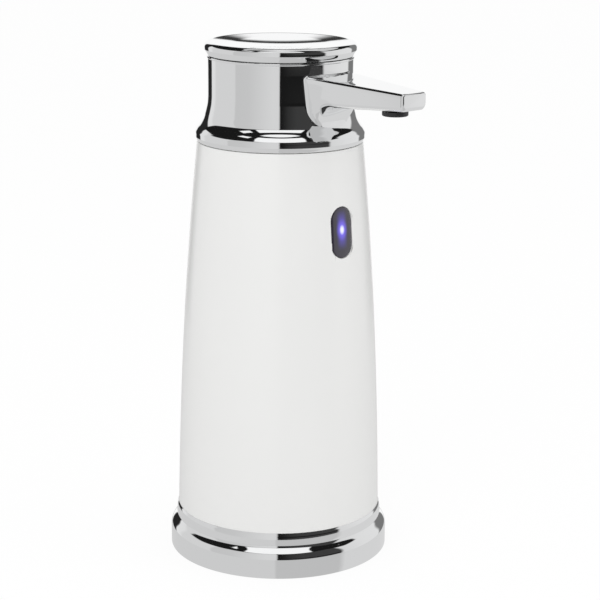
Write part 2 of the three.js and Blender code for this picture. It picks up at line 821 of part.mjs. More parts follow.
function spoutOuter() {
  const along = [
    ...spread(spoutStart, spoutArchEnd - spoutArchReach, 1),
    ...spread(spoutArchEnd - spoutArchReach, spoutArchEnd, 5).slice(1),
    nozzleReach,
  ];
  const sections = along.map((reach) => {
    const gusset = THREE.MathUtils.clamp((spoutGussetEnd - reach) / spoutArchReach, 0, 1);
    const lowRadius = THREE.MathUtils.lerp(spoutUnderRadius, spoutGussetRadius, gusset);
    return {
      reach,
      ring: spoutSection(spoutHalfWidth(reach), spoutUnderside(reach), spoutTop(reach), lowRadius,
        spoutEdgeRadius),
    };
  });
  for (const angle of spread(0, quarterTurn * spoutTipTurnShare, 3)) {
    const draw = spoutTipRadius * (1 - Math.cos(angle));
    const reach = spoutReach - spoutTipRadius * (1 - Math.sin(angle));
    const half = spoutHalfWidth(reach) - draw * spoutTipDrawShare;
    const ring = spoutSection(half, spoutUnderside(reach) + draw, spoutTop(reach) - draw * spoutTipDrawShare,
      spoutUnderRadius, spoutEdgeRadius);
    const bow = (x) => spoutBow * (1 - (x / half) ** 2);
    sections.push({ reach: reach - spoutBow, ring: ring.map(([x, z]) => [x, z, bow(x)]) });
  }
  return loft(sections);
}

function spoutChannel() {
  const along = [...spread(spoutStart - overrun, spoutArchEnd, 3), channelEnd];
  return loft(along.map((reach) => {
    const low = Math.max(spoutUnderside(reach) + spoutWall, channelFloor);
    const halfWidth = spoutHalfWidth(reach) - spoutSideWall;
    const high = spoutTop(reach) - spoutWall;
    return { reach, ring: spoutSection(halfWidth, low, high, spoutEdgeRadius, spoutEdgeRadius) };
  }));
}

const nozzleSeat = spoutUnderside(nozzleReach - nozzleRadius);
const nozzleTop = nozzleSeat - seatGap;

function makeHead() {
  const lipBottom = neckTop - neckLipThickness;
  const outer = revolve([
    [0, collarSeam],
    [collarFootRadius, collarSeam],
    [beadRadius, beadLow],
    ...arc(beadRadius - beadRound, beadHigh, beadRound, beadRound, 0, quarterTurn * beadTurnShare, 2),
    ...flareStations(flareFootHeight, 4, 0),
    [neckRadius, lipBottom - neckLipThickness / 2],
    [neckLipRadius, lipBottom],
    [neckLipRadius, neckTop],
    [0, neckTop],
  ]);
  const innerRadius = neckRadius - neckWall;
  const hollow = revolve([
    [0, collarSeam - overrun],
    [spigotRadius + seatGap, collarSeam - overrun],
    [spigotRadius + seatGap, spigotTop + seatGap],
    ...flareStations(flareFootHeight + neckWall / 2, 2, neckWall),
    [innerRadius, fillFlangeBottom - seatGap],
    [fillFlangeRadius + seatGap, fillFlangeBottom - seatGap],
    [fillFlangeRadius + seatGap, neckTop + overrun],
    [0, neckTop + overrun],
  ]);
  const seatBoss = rod(nozzleRadius, nozzleSeat, spoutUnderside(nozzleReach + nozzleRadius) + spoutWall / 2,
    0, -nozzleReach, mediumSides);
  const stemHole = rod(nozzleStemRadius + seatGap, nozzleSeat - overrun, deliverySpoutHeight, 0, -nozzleReach);
  const head = outer.add(spoutOuter()).add(seatBoss).subtract(hollow).subtract(spoutChannel()).subtract(stemHole);
  addPart('head_shell', head, 'chrome');
}

function makeNozzle() {
  const bottom = nozzleTop - nozzleDepth;
  const pocketTop = bottom + valveThickness + seatGap;
  const tip = revolve([
    [valveRadius + seatGap, bottom],
    ...arc(nozzleRadius - nozzleRound, bottom + nozzleRound, nozzleRound, nozzleRound, -quarterTurn, 0, 1),
    [nozzleRadius, nozzleTop],
    [nozzleStemRadius, nozzleTop],
    [nozzleStemRadius, nozzleTop + nozzleStemRise],
    [nozzleBore, nozzleTop + nozzleStemRise],
    [nozzleBore, pocketTop],
    [valveRadius + seatGap, pocketTop],
  ], mediumSides);
  addPart('nozzle_tip', tip, 'blackPlastic', 0, -nozzleReach, 0);
  const slit = block([-valveRadius / 2, -valveSlit / 2, -overrun], [valveRadius / 2, valveSlit / 2, overrun]);
  const valve = rod(valveRadius, 0, valveThickness).subtract(slit);
  addPart('nozzle_valve', valve, 'silicone', 0, -nozzleReach, bottom);
}

function makeLid() {
  const dishRim = lidTopHeight - lidSlopeDrop;
  const underside = dishRim - lidDishDepth - lidWall;
  const grooveLow = plugFoot + sealAboveFoot - sealSection - seatGap;
  const grooveHigh = plugFoot + sealAboveFoot + sealSection + seatGap;
  const flare = spread(0, 1, 2).map((share) => [
    lidFootRadius + lidFlareProud * share ** lidFlarePower, lidFoot + lidFlareRise * share,
  ]);
  const dish = spread(1, 0, 2).map((share) => [lidDishRadius * share, dishRim - lidDishDepth * (1 - share * share)]);
  const lid = revolve([
    [0, underside],
    [plugRadius - plugWall, underside],
    [plugRadius - plugWall, plugFoot],
    [plugRadius, plugFoot],
    [plugRadius, grooveLow],
    [plugRadius - sealGroove, grooveLow],
    [plugRadius - sealGroove, grooveHigh],
    [plugRadius, grooveHigh],
    [plugRadius, underside],
    [lidFootRadius - lidBandWall, underside],
    [lidFootRadius - lidBandWall, lidFoot],
    ...flare,
    [lidRimRadius, lidRimFoot],
    ...arc(lidRollRadius, lidRimTop, lidRollReach, lidRollRise, 0, quarterTurn, 2),
    ...dish,
  ]);
  addPart('lid', lid, 'chrome');
  const ringRadius = plugRadius - sealGroove + seatGap + sealSection;
  const ring = new THREE.TorusGeometry(ringRadius, sealSection, 4, roundSides)
    .translate(0, 0, plugFoot + sealAboveFoot);
  addPart('lid_seal', solid(ring), 'rubber');
}

function makeTank() {
  const side = (inset) => spread(tankFloor, tankShoulderStart, 2)
    .map((height) => [bodyRadius(height) - bodyWall - tankClearance - inset, height]);
  const shoulderRadius = bodyRadius(tankShoulderStart) - bodyWall - tankClearance;
  const shoulder = (inset) => [quarterTurn / 3, 2 * quarterTurn / 3, quarterTurn].map((angle) => [
    tankNeckRadius + (shoulderRadius - tankNeckRadius) * Math.cos(angle) - inset,
    tankShoulderStart + (tankShoulderEnd - tankShoulderStart) * Math.sin(angle),
  ]);
  const flatCut = (reach) => block([-clearReach, -clearReach, tankFloor - overrun],
    [clearReach, -reach, neckTop + overrun]);
  const outer = revolve([
    [0, tankFloor], ...side(0), ...shoulder(0), [tankNeckRadius, tankNeckTop], [0, tankNeckTop],
  ]).subtract(flatCut(tankFlatReach));
  const [innerFoot, ...innerSide] = side(tankWall);
  const inner = revolve([
    [0, tankFloor + tankWall], [innerFoot[0], tankFloor + tankWall], ...innerSide, ...shoulder(tankWall),
    [tankNeckRadius - tankWall, tankNeckTop + overrun], [0, tankNeckTop + overrun],
  ]).subtract(flatCut(tankFlatReach - tankWall));
  const spigot = rod(inletRadius, tankFloor - tankOutletDrop, tankFloor + tankWall / 2, inletX, inletY, postSides);
  const drain = rod(inletBore, tankFloor - tankOutletDrop - overrun, tankFloor + tankWall + overrun, inletX, inletY,
    postSides);
  addPart('soap_tank', outer.subtract(inner).add(spigot).subtract(drain), 'tank');

  const skirtOuter = fillInner + fillSkirtWall;
  const collar = revolve([
    [fillInner, fillSkirtFoot],
    [skirtOuter, fillSkirtFoot],
    [skirtOuter, fillFlangeBottom],
    [fillFlangeRadius, fillFlangeBottom],
    [fillFlangeRadius, fillFlangeBottom + fillFlangeThickness],
    [fillInner, fillFlangeBottom + fillFlangeThickness],
  ]);
  addPart('fill_collar', collar, 'greyPlastic');
}

function makeSensor() {
  const halfWidth = windowWidth / 2 - seatGap;
  const halfHeight = windowHeight / 2 - seatGap;
  const back = bodyWall + seatGap;
  const farReach = clearReach;
  const nearReach = tankFlatReach;
  const front = capsule(halfWidth, halfHeight, nearReach, farReach)
    .intersect(bodySkin(lensRecess, back - lensRecess + lensFlangeThickness / 2));
  const flange = capsule(halfWidth + lensFlange, halfHeight + lensFlange, nearReach, farReach)
    .intersect(bodySkin(back, lensFlangeThickness));
  addPart('sensor_lens', front.add(flange), 'darkLens');

  const lowestRadius = bodyRadius(windowCentre + halfHeight + lensFlange);
  const sag = lowestRadius - Math.sqrt(lowestRadius ** 2 - (halfWidth + lensFlange) ** 2);
  const holderFront = lowestRadius - back - lensFlangeThickness - sag - seatGap;
  const holderBack = holderFront - holderDepth;
  const eyeHeights = [eyePitch, 0, -eyePitch].map((step) => windowCentre + step);
  let holder = capsule(halfWidth + lensFlange, halfHeight + lensFlange, holderBack, holderFront);
  for (const height of eyeHeights) {
    holder = holder.subtract(barY(eyeRadius + seatGap, -farReach, -nearReach, 0, height, postSides));
    holder = holder.subtract(barY(eyeRadius + eyeFlange + seatGap, -holderBack - eyeFlangeThickness - seatGap,
      -nearReach, 0, height, postSides));
  }
  addPart('sensor_holder', holder, 'blackPlastic');
  const eyeNames = ['ir_emitter', 'status_led', 'ir_receiver'];
  const eyeFinishes = ['darkLens', 'led', 'blackPlastic'];
  eyeHeights.forEach((height, k) => {
    const dome = solid(new THREE.SphereGeometry(eyeRadius, postSides, 4)
      .translate(0, -holderBack - eyeLength + eyeRadius, height));
    const barrel = barY(eyeRadius, -holderBack - eyeLength + eyeRadius, -holderBack, 0, height, postSides);
    const rim = barY(eyeRadius + eyeFlange, -holderBack - eyeFlangeThickness, -holderBack, 0, height, postSides);
    addPart(eyeNames[k], barrel.add(dome).add(rim), eyeFinishes[k]);
  });
  const boardFront = holderBack - seatGap;
  const board = block([-sensorBoardHalfWidth, -boardFront, windowCentre - sensorBoardHeight / 2],
    [sensorBoardHalfWidth, -boardFront + boardThickness, windowCentre + sensorBoardHeight / 2]);
  addPart('sensor_board', board, 'board');
}

function doorOutline(grow, bottom, top) {
  const sheet = extruded(roundedRectangle(doorHalfWidth + grow, doorHalfLength + grow, doorCorner + grow), bottom,
    top, cornerSteps);
  return sheet.add(rod(doorTabRadius + grow, bottom, top, 0, doorTabReach, smallSides));
}

function makeBasePlate() {
  const rimTop = ringShelfHeight - ringShelfThickness - seatGap;
  const disc = revolve([
    [0, plateUnderside],
    [footPadInner - seatGap, plateUnderside],
    [footPadInner - seatGap, footPadHeight + seatGap],
    [plateRadius, footPadHeight + seatGap],
    [plateRadius, rimTop],
    [plateRadius - plateRimWall, rimTop],
    [plateRadius - plateRimWall, plateTop],
    [0, plateTop],
  ]);
  const bayOuter = block([-bayHalfWidth - bayWall, -bayHalfLength - bayWall, plateTop - bayWall],
    [bayHalfWidth + bayWall, bayHalfLength + bayWall, bayTop + bayCeiling]);
  const bayInner = block([-bayHalfWidth, -bayHalfLength, plateUnderside - overrun],
    [bayHalfWidth, bayHalfLength, bayTop]);
  let plate = disc.add(bayOuter);
  for (const angle of baseScrewAngles) {
    const [x, y] = polar(postCircle, angle);
    plate = plate.add(rod(bossRadius, plateTop - bayWall, chassisBottom - seatGap, x, y, postSides));
  }
  const chamberTopHeight = recessTop + lockLip + lockChamber;
  plate = plate.add(rod(lockWingLength + seatGap + plateRimWall, plateTop - bayWall,
    chamberTopHeight + bayCeiling, 0, doorTabReach));
  for (const side of [-1, 1]) {
    const standoffX = buttonX + side * (switchBoardHalfWidth - standoffRadius);
    plate = plate.add(rod(standoffRadius, plateTop - bayWall, switchBoardBottom - seatGap, standoffX, buttonY,
      screwSides));
  }
  plate = plate.subtract(bayInner).subtract(doorOutline(doorGap, plateUnderside - overrun, recessTop));
  plate = plate.subtract(doorOutline(doorGap, plateUnderside - overrun, recessTop)
    .translate([0, doorGap - doorHingeGap, 0]));
  for (const side of [-1, 1]) {
    const centre = side * hingeSpread;
    const half = knuckleLength / 2 + knuckleGap;
    plate = plate.subtract(block([centre - half, -hingeReach - knuckleRadius - knuckleGap, plateUnderside - overrun],
      [centre + half, -doorHalfLength, recessTop]));
    const reach = hingePinLength / 2 + seatGap;
    plate = plate.subtract(barX(hingePinRadius + seatGap, centre - reach, centre + reach, -hingeReach, hingeHeight));
  }
  const keyhole = rod(lockShankRadius + seatGap, recessTop - overrun, chamberTopHeight, 0, doorTabReach)
    .add(block([-lockWingLength - seatGap, doorTabReach - lockWingWidth / 2 - seatGap, recessTop - overrun],
      [lockWingLength + seatGap, doorTabReach + lockWingWidth / 2 + seatGap, chamberTopHeight]));
  const chamber = rod(lockWingLength + seatGap, recessTop + lockLip, chamberTopHeight, 0, doorTabReach, mediumSides);
  plate = plate.subtract(keyhole).subtract(chamber);
  plate = plate.subtract(rod(buttonRadius + seatGap, plateUnderside - overrun, plateTop + overrun, buttonX, buttonY,
    mediumSides));
  for (const angle of baseScrewAngles) {
    const [x, y] = polar(postCircle, angle);
    plate = plate.subtract(rod(screwRadius + seatGap, plateUnderside - overrun, chassisBottom + overrun, x, y,
      screwSides));
    plate = plate.subtract(rod(screwHeadRadius + seatGap, plateUnderside - overrun,
      plateUnderside + screwHeadHeight + 2 * seatGap, x, y, screwSides));
  }
  addPart('base_plate', plate, 'greyPlastic');
  addPart('foot_ring', revolve([
    [footPadInner, 0], [footPadOuter, 0], [footPadOuter, footPadHeight], [footPadInner, footPadHeight],
  ]), 'rubber');
}

function makeDoor() {
  let door = doorOutline(0, plateUnderside, doorTop);
  const padHalfWidth = bayHalfWidth - sealWidth;
  const padHalfLength = bayHalfLength - sealWidth;
  const pad = (inset, bottom, top) => extruded(
    roundedRectangle(padHalfWidth - inset, padHalfLength - inset, doorCorner / 2), bottom, top, 2);
  door = door.add(pad(0, doorTop - doorThickness / 2, padTop)).subtract(pad(doorThickness, doorTop, padTop + overrun));
  for (const side of [-1, 1]) {
    const centre = side * hingeSpread;
    const half = knuckleLength / 2;
    const arm = block([centre - half, -hingeReach, hingeHeight - knuckleRadius],
      [centre + half, -doorHalfLength + doorThickness, doorTop]);
    door = door.add(arm).add(barX(knuckleRadius, centre - half, centre + half, -hingeReach, hingeHeight));
    door = door.subtract(barX(hingePinRadius + runningGap, centre - half - overrun, centre + half + overrun,
      -hingeReach, hingeHeight));
  }
  const bossTop = recessTop - seatGap;
  door = door.add(rod(lockRadius + runningGap, doorTop - doorThickness / 2, bossTop, 0, doorTabReach, mediumSides));
  door = door.subtract(rod(lockRadius + seatGap, plateUnderside - overrun, plateUnderside + lockHeadThickness + seatGap,
    0, doorTabReach, mediumSides));
  door = door.subtract(rod(lockShankRadius + runningGap, plateUnderside, bossTop + overrun, 0, doorTabReach));
  addPart('battery_door', door, 'greyPlastic');

  const ring = (grow, bottom, top) => extruded(
    roundedRectangle(bayHalfWidth + grow, bayHalfLength + grow, doorCorner - 2 * sealWidth + grow), bottom, top,
    cornerSteps);
  const seal = ring(sealWidth, doorTop + seatGap, doorTop + seatGap + sealThickness)
    .subtract(ring(0, doorTop, recessTop));
  addPart('door_seal', seal, 'rubber');

  let lock = rod(lockRadius, plateUnderside, plateUnderside + lockHeadThickness, 0, 0, mediumSides)
    .add(rod(lockShankRadius, plateUnderside, lockTop))
    .add(block([-lockWingLength, -lockWingWidth / 2, lockTop - lockWingThickness],
      [lockWingLength, lockWingWidth / 2, lockTop]));
  lock = lock.subtract(block([-lockRadius - overrun, -lockSlotWidth / 2, plateUnderside - overrun],
    [lockRadius + overrun, lockSlotWidth / 2, plateUnderside + lockSlotDepth]));
  addPart('door_lock', lock, 'greyPlastic', 0, doorTabReach, 0);
  [-1, 1].forEach((side, k) => {
    const pin = barX(hingePinRadius, -hingePinLength / 2, hingePinLength / 2, 0, 0);
    addPart(`door_hinge_pin_${k + 1}`, pin, 'steel', side * hingeSpread, -hingeReach, hingeHeight);
  });
}

function batterySpring(inward) {
  const curve = new THREE.Curve();
  curve.getPoint = (share, target = new THREE.Vector3()) => {
    const radius = THREE.MathUtils.lerp(springFootRadius, springTipRadius, share);
    const angle = 4 * quarterTurn * springTurns * share;
    const rise = springLength * Math.max(share - 1 / springTurns / 2, 0);
    return target.set(radius * Math.cos(angle), inward * rise, radius * Math.sin(angle));
  };
  const shape = new THREE.Shape();
  shape.absarc(0, 0, springWire, 0, 4 * quarterTurn);
  const options = { extrudePath: curve, steps: turnSteps * springTurns, bevelEnabled: false, curveSegments: 2 };
  return solid(new THREE.ExtrudeGeometry(shape, options));
}

// Cells lie along Y in a row, every other one turned round, and plates at the bay's ends join them in series.
function makeCells() {
  const cellXs = cellPlaceShares.map((share) => share * cellPitch);
  const halfCell = cellLength / 2;
  const cellShape = revolve([
    [0, -halfCell],
    [cellRadius, -halfCell],
    [cellRadius, halfCell - cellRound],
    [cellNubRadius, halfCell],
    [cellNubRadius, halfCell + cellNubHeight],
    [0, halfCell + cellNubHeight],
  ], smallSides);
  cellXs.forEach((x, k) => {
    const facing = k % 2 === 0 ? 1 : -1;
    const shift = -facing * cellNubHeight / 2;
    addPart(`battery_cell_${k + 1}`, cellShape.rotate([-90 * facing, 0, 0]), 'cell', x, shift, cellHeight);
  });
  const plateFace = bayHalfLength - seatGap;
  const plate = (fromX, toX, side) => {
    const [near, far] = [side * (plateFace - contactThickness), side * plateFace];
    return block([fromX - contactHalfWidth, Math.min(near, far), -contactHalfHeight],
      [toX + contactHalfWidth, Math.max(near, far), contactHalfHeight]);
  };
  const spring = (x, side) => batterySpring(-side).translate(
    [x, side * (plateFace - contactThickness - springWire / 2), 0]);
  const minusXs = (side) => cellXs.filter((_, k) => (k % 2 === 0 ? -1 : 1) === side);
  const contacts = [
    ['contact_plus', 0, 0, 1],
    ['contact_bridge_1', 1, 2, 1],
    ['contact_minus', 3, 3, 1],
    ['contact_bridge_2', 0, 1, -1],
    ['contact_bridge_3', 2, 3, -1],
  ];
  for (const [name, first, last, side] of contacts) {
    let contact = plate(cellXs[first], cellXs[last], side);
    for (const x of minusXs(side)) {
      if (x >= cellXs[first] && x <= cellXs[last]) contact = contact.add(spring(x, side));
    }
    addPart(name, contact, 'steel', 0, 0, cellHeight);
  }
}

function makePowerButton() {
  const flangeBottom = plateTop + seatGap;
  const flangeTop = flangeBottom + buttonFlangeThickness;
  const button = revolve([
    [0, buttonUnderside],
    ...arc(buttonRadius - buttonRound, buttonUnderside + buttonRound, buttonRound, buttonRound, -quarterTurn, 0, 2),
    [buttonRadius, flangeBottom],
    [buttonRadius + buttonFlange, flangeBottom],
    [buttonRadius + buttonFlange, flangeTop],
    [0, flangeTop],
  ], mediumSides);
  addPart('power_button', button, 'blackPlastic', buttonX, buttonY, 0);
  const plunger = rod(plungerRadius, flangeTop + seatGap, flangeTop + seatGap + plungerLength);
  addPart('switch_plunger', plunger, 'blackPlastic', buttonX, buttonY, 0);
  const switchTop = switchBoardBottom - seatGap / 2;
  const body = block([-switchHalfWidth, -switchHalfWidth, switchTop - switchHeight],
    [switchHalfWidth, switchHalfWidth, switchTop])
    .subtract(rod(plungerRadius + seatGap, switchTop - switchHeight - overrun, switchTop - seatGap));
  addPart('power_switch', body, 'blackPlastic', buttonX, buttonY, 0);
  const board = block([-switchBoardHalfWidth, -switchBoardHalfLength, 0],
    [switchBoardHalfWidth, switchBoardHalfLength, boardThickness]);
  addPart('switch_board', board, 'board', buttonX, buttonY, switchBoardBottom);
}

function makeChassis() {
  let chassis = rod(chassisRadius, chassisBottom, chassisTop, 0, 0, roundSides);
  for (const angle of postAngles) {
    chassis = chassis.add(rod(postRadius, chassisTop - bearingDepth, tankFloor - seatGap, ...polar(postCircle, angle),
      postSides));
  }
  for (const angle of gearPostAngles) {
    const [x, y] = polar(gearPostCircle, angle);
    chassis = chassis.add(rod(gearPostRadius, chassisTop - bearingDepth, gearPlateBottom - seatGap, x,
      y + gearPlateOffset, postSides));
    chassis = chassis.subtract(rod(screwRadius + seatGap, chassisTop, gearPlateBottom, x, y + gearPlateOffset,
      screwSides));
  }
  chassis = chassis.add(rod(axleBossRadius, chassisTop - bearingDepth, wheelBottom - seatGap, 0, trainY));
  chassis = chassis.subtract(rod(axleRadius + seatGap, axleBottom - seatGap, wheelBottom, 0, trainY));
  chassis = chassis.subtract(rod(pumpShaftRadius + runningGap, axleBottom - seatGap, wheelBottom, pumpX, trainY));
  const railFront = mainBoardReach - seatGap;
  const railBack = mainBoardReach + boardThickness + seatGap;
  for (const y of [railFront - railWall, railBack]) {
    chassis = chassis.add(block([-railHalfWidth, y, chassisTop - bearingDepth],
      [railHalfWidth, y + railWall, chassisTop + railHeight]));
  }
  for (const angle of baseScrewAngles) {
    chassis = chassis.subtract(rod(screwRadius + seatGap, chassisBottom - overrun, chassisTop + overrun,
      ...polar(postCircle, angle), screwSides));
  }
  addPart('chassis', chassis, 'greyPlastic');

  let plate = rod(gearPlateRadius, gearPlateBottom, gearPlateTop, 0, gearPlateOffset, roundSides);
  const holes = [
    [motorBossRadius + seatGap, motorX, trainY],
    [axleRadius + seatGap, 0, trainY],
    [pumpShaftRadius + runningGap, pumpX, trainY],
    ...gearPostAngles.map((angle) => {
      const [x, y] = polar(gearPostCircle, angle);
      return [screwRadius + seatGap, x, y + gearPlateOffset];
    }),
    ...[-1, 1].map((side) => [screwRadius + seatGap, pumpMidX + side * earStepX, pumpMidY + side * earStepY]),
  ];
  for (const [radius, x, y] of holes) {
    plate = plate.subtract(rod(radius, gearPlateBottom - overrun, gearPlateTop + overrun, x, y,
      radius < axleRadius + seatGap ? screwSides : smallSides));
  }
  addPart('gear_plate', plate, 'greyPlastic');
}

// The outline of an involute spur gear with one tooth centred on +X, turned by a phase.
function gearShape(teeth, module, backlash, phase, bore, flankSteps) {
  const pitchRadius = module * teeth / 2;
  const baseRadius = pitchRadius * Math.cos(pressureAngle);
  const tipRadius = pitchRadius + addendumShare * module;
  const rootRadius = pitchRadius - dedendumShare * module;
  const involute = (radius) => {
    const angle = Math.acos(Math.min(baseRadius / radius, 1));
    return Math.tan(angle) - angle;
  };
  const halfTooth = (quarterTurn - backlash / module) / teeth + involute(pitchRadius);
  const shape = new THREE.Shape();
  const points = [];
  for (let tooth = 0; tooth < teeth; tooth += 1) {
    const centre = phase + 4 * quarterTurn * tooth / teeth;
    const rise = spread(rootRadius, tipRadius, flankSteps).map((radius) => [radius, halfTooth - involute(radius)]);
    for (const [radius, angle] of rise) points.push(polar(radius, centre - angle));
    for (const [radius, angle] of [...rise].reverse()) points.push(polar(radius, centre + angle));
  }
  points.forEach(([x, y], k) => (k === 0 ? shape.moveTo(x, y) : shape.lineTo(x, y)));
  if (bore > 0) {
    const hole = new THREE.Path();
    hole.absarc(0, 0, bore, 0, 4 * quarterTurn, true);
    shape.holes.push(hole);
  }
  return shape;
}

function halfPitch(teeth) {
  return 2 * quarterTurn / teeth;
}

function makeGears() {
  const pinion = extruded(gearShape(pinionTeeth, driveModule, driveBacklash, 0, 0, 2), wheelBottom - pinionOverhang,
    smallGearBottom + pinionOverhang).add(rod(motorShaftRadius, wheelBottom, motorShaftTop));
  addPart('motor_pinion', pinion, 'steel', motorX, trainY, 0);

  const bore = axleRadius + runningGap;
  const wheel = extruded(gearShape(wheelTeeth, driveModule, driveBacklash, halfPitch(wheelTeeth), bore, 1), wheelBottom,
    smallGearBottom);
  const small = extruded(gearShape(smallTeeth, driveModule, driveBacklash, 0, bore, 2),
    smallGearBottom - wheelThickness / 2, smallGearTop);
  addPart('reduction_gear', wheel.add(small), 'acetal', 0, trainY, 0);
  addPart('gear_axle', rod(axleRadius, axleBottom, axleTop), 'steel', 0, trainY, 0);

  const drive = extruded(gearShape(driveTeeth, driveModule, driveBacklash, halfPitch(driveTeeth), 0, 1), driveBottom,
    driveBottom + driveThickness).add(rod(pumpShaftRadius, axleBottom, coverBottom + bearingDepth - seatGap));
  addPart('drive_gear', drive, 'acetal', pumpX, trainY, 0);
}

function makePump() {
  const rotorBore = pumpShaftRadius + seatGap;
  const rotor = extruded(gearShape(pumpTeeth, pumpModule, pumpBacklash, 0, rotorBore, 2), rotorBottom, rotorTop);
  addPart('pump_rotor', rotor, 'acetal', pumpX, trainY, 0);
  const idlerPhase = halfPitch(pumpTeeth);
  const idler = extruded(gearShape(pumpTeeth, pumpModule, pumpBacklash, idlerPhase, 0, 2), rotorBottom, rotorTop)
    .add(rod(pumpShaftRadius, chamberBottom - bearingDepth + seatGap, coverBottom + bearingDepth - seatGap));
  addPart('pump_idler', idler, 'acetal', idlerX, idlerY, 0);

  const centres = [[pumpX, trainY], [idlerX, idlerY]];
  const ears = [-1, 1].map((side) => [pumpMidX + side * earStepX, pumpMidY + side * earStepY]);
  const slab = (bottom, top) => {
    const shell = chamberRadius + pumpShell;
    let body = rod(shell, bottom, top, ...centres[0], mediumSides)
      .add(rod(shell, bottom, top, ...centres[1], mediumSides));
    const web = block([-pumpEarReach, -pumpEarRadius, bottom], [pumpEarReach, pumpEarRadius, top])
      .rotate([0, 0, THREE.MathUtils.radToDeg(portAngle)]).translate([pumpMidX, pumpMidY, 0]);
    const waist = block([-shell, -pumpSpacing / 2, bottom], [shell, pumpSpacing / 2, top])
      .rotate([0, 0, THREE.MathUtils.radToDeg(portAngle)]).translate([pumpMidX, pumpMidY, 0]);
    body = body.add(web).add(waist);
    for (const [x, y] of ears) body = body.add(rod(pumpEarRadius, bottom, top, x, y, postSides));
    for (const [x, y] of ears) {
      body = body.subtract(rod(screwRadius + seatGap, bottom - overrun, top + overrun, x, y, screwSides));
    }
    return body;
  };
  let housing = slab(pumpBottom, chamberTop);
  for (const [x, y] of centres) {
    housing = housing.subtract(rod(chamberRadius, chamberBottom, chamberTop + overrun, x, y, mediumSides));
  }
  for (const [x, y] of [[inletX, inletY], [outletX, outletY]]) {
    housing = housing.subtract(rod(inletRadius, chamberBottom, chamberTop + overrun, x, y, postSides));
  }
  housing = housing.subtract(rod(pumpShaftRadius + runningGap, pumpBottom - overrun, chamberBottom + overrun,
    pumpX, trainY));
  housing = housing.subtract(rod(pumpShaftRadius + runningGap, chamberBottom - bearingDepth, chamberBottom + overrun,
    idlerX, idlerY));
  addPart('pump_housing', housing, 'greyPlastic');

  let cover = slab(coverBottom, coverTop)
    .add(rod(inletRadius, coverTop - pumpCover / 2, coverTop + barbHeight, inletX, inletY, postSides))
    .add(rod(outletRadius, coverTop - pumpCover / 2, coverTop + barbHeight, outletX, outletY, screwSides))
    .subtract(rod(inletBore, coverBottom - overrun, coverTop + barbHeight + overrun, inletX, inletY, postSides))
    .subtract(rod(outletBore, coverBottom - overrun, coverTop + barbHeight + overrun, outletX, outletY, screwSides));
  for (const [x, y] of centres) {
    cover = cover.subtract(rod(pumpShaftRadius + runningGap, coverBottom - overrun, coverBottom + bearingDepth, x, y));
  }
  addPart('pump_cover', cover, 'greyPlastic');
}

function makeMotor() {
  const flats = block([-motorRadius, -motorFlat, motorBottom - overrun], [motorRadius, motorFlat, motorTop + overrun]);
  const can = rod(motorRadius, motorBottom, motorTop, 0, 0, mediumSides).intersect(flats)
    .add(rod(motorBossRadius, motorBottom - motorBossHeight, motorBottom + motorBossHeight))
    .subtract(rod(motorShaftRadius + runningGap, motorBottom - motorBossHeight - overrun, motorShaftTop + seatGap));
  let motor = can;
  for (const side of [-1, 1]) {
    motor = motor.add(block([side * terminalSpread - terminalWidth / 2, -terminalThickness / 2, motorTop - overrun],
      [side * terminalSpread + terminalWidth / 2, terminalThickness / 2, motorTop + terminalHeight]));
  }
  addPart('motor', motor, 'steel', motorX, trainY, 0);
}

function makeTubes() {
  const wallOuter = inletRadius + seatGap + suctionWall;
  const suction = rod(wallOuter, coverTop + seatGap, tankFloor - seatGap, 0, 0, postSides).subtract(
    rod(inletRadius + seatGap, coverTop - overrun, tankFloor + overrun, 0, 0, postSides));
  addPart('suction_tube', suction, 'silicone', inletX, inletY, 0);

  const delivery = rounded([
    [outletX, outletY, coverTop + seatGap],
    [outletX, outletY, deliveryCrossing, deliveryBend],
    [deliveryRunX, -deliveryRunReach, deliveryCrossing, deliveryBend],
    [deliveryRunX, -deliveryRunReach, deliveryRunTop, deliveryBend],
    [0, -deliveryRunReach, deliveryMiddle, deliveryBend],
    [0, -deliveryNeckReach, deliveryNeckFoot, deliveryBend],
    [0, -deliveryNeckReach, deliverySpoutHeight, deliveryBend],
    [0, -nozzleReach, deliverySpoutHeight, deliveryEndBend],
    [0, -nozzleReach, deliverySpoutHeight - deliveryEndBend],
  ], 2);
  addPart('delivery_tube', tube(delivery, deliveryRadius, deliveryBore, screwSides), 'silicone');
}

function makeBoards() {
  const board = block([-mainBoardHalfWidth, 0, 0], [mainBoardHalfWidth, boardThickness, mainBoardHeight]);
  addPart('main_board', board, 'board', 0, mainBoardReach, chassisTop + seatGap);
  const chip = block([-chipHalfWidth, 0, -chipHalfWidth], [chipHalfWidth, chipThickness, chipHalfWidth]);
  const chipHeight = chassisTop + railHeight + mainBoardHeight / 2;
  addPart('control_chip', chip, 'blackPlastic', 0, mainBoardReach - chipThickness - seatGap / 2, chipHeight);

  const sweep = spread(...leadSweep, leadSteps).map((angle) => [...polar(leadCircle, angle), leadHeight]);
  const boardFoot = windowCentre - sensorBoardHeight / 2 - seatGap;
  const lead = rounded([
    [-leadStartX, mainBoardReach - seatGap - leadRadius, leadHeight],
    ...sweep,
    [-leadRiseX, -deliveryRunReach, leadTurnLow],
    [-leadEndX, -deliveryRunReach, leadTurnHigh],
    [-leadEndX, -deliveryRunReach, boardFoot],
  ], 2);
  addPart('sensor_lead', tube(lead, leadRadius, 0, screwSides), 'lead');
}

// A screw with its head at the origin, its shank along +Z or, turned over, along -Z.
function screw(length, up) {
  const shank = rod(screwRadius, 0, length, 0, 0, screwSides);
  const head = rod(screwHeadRadius, -screwHeadHeight, 0, 0, 0, screwSides);
  const socket = rod(screwRadius, -screwHeadHeight - overrun, -screwHeadHeight + screwSocket, 0, 0, screwSides);
  const body = shank.add(head).subtract(socket);
  return up ? body : body.rotate([180, 0, 0]);
}

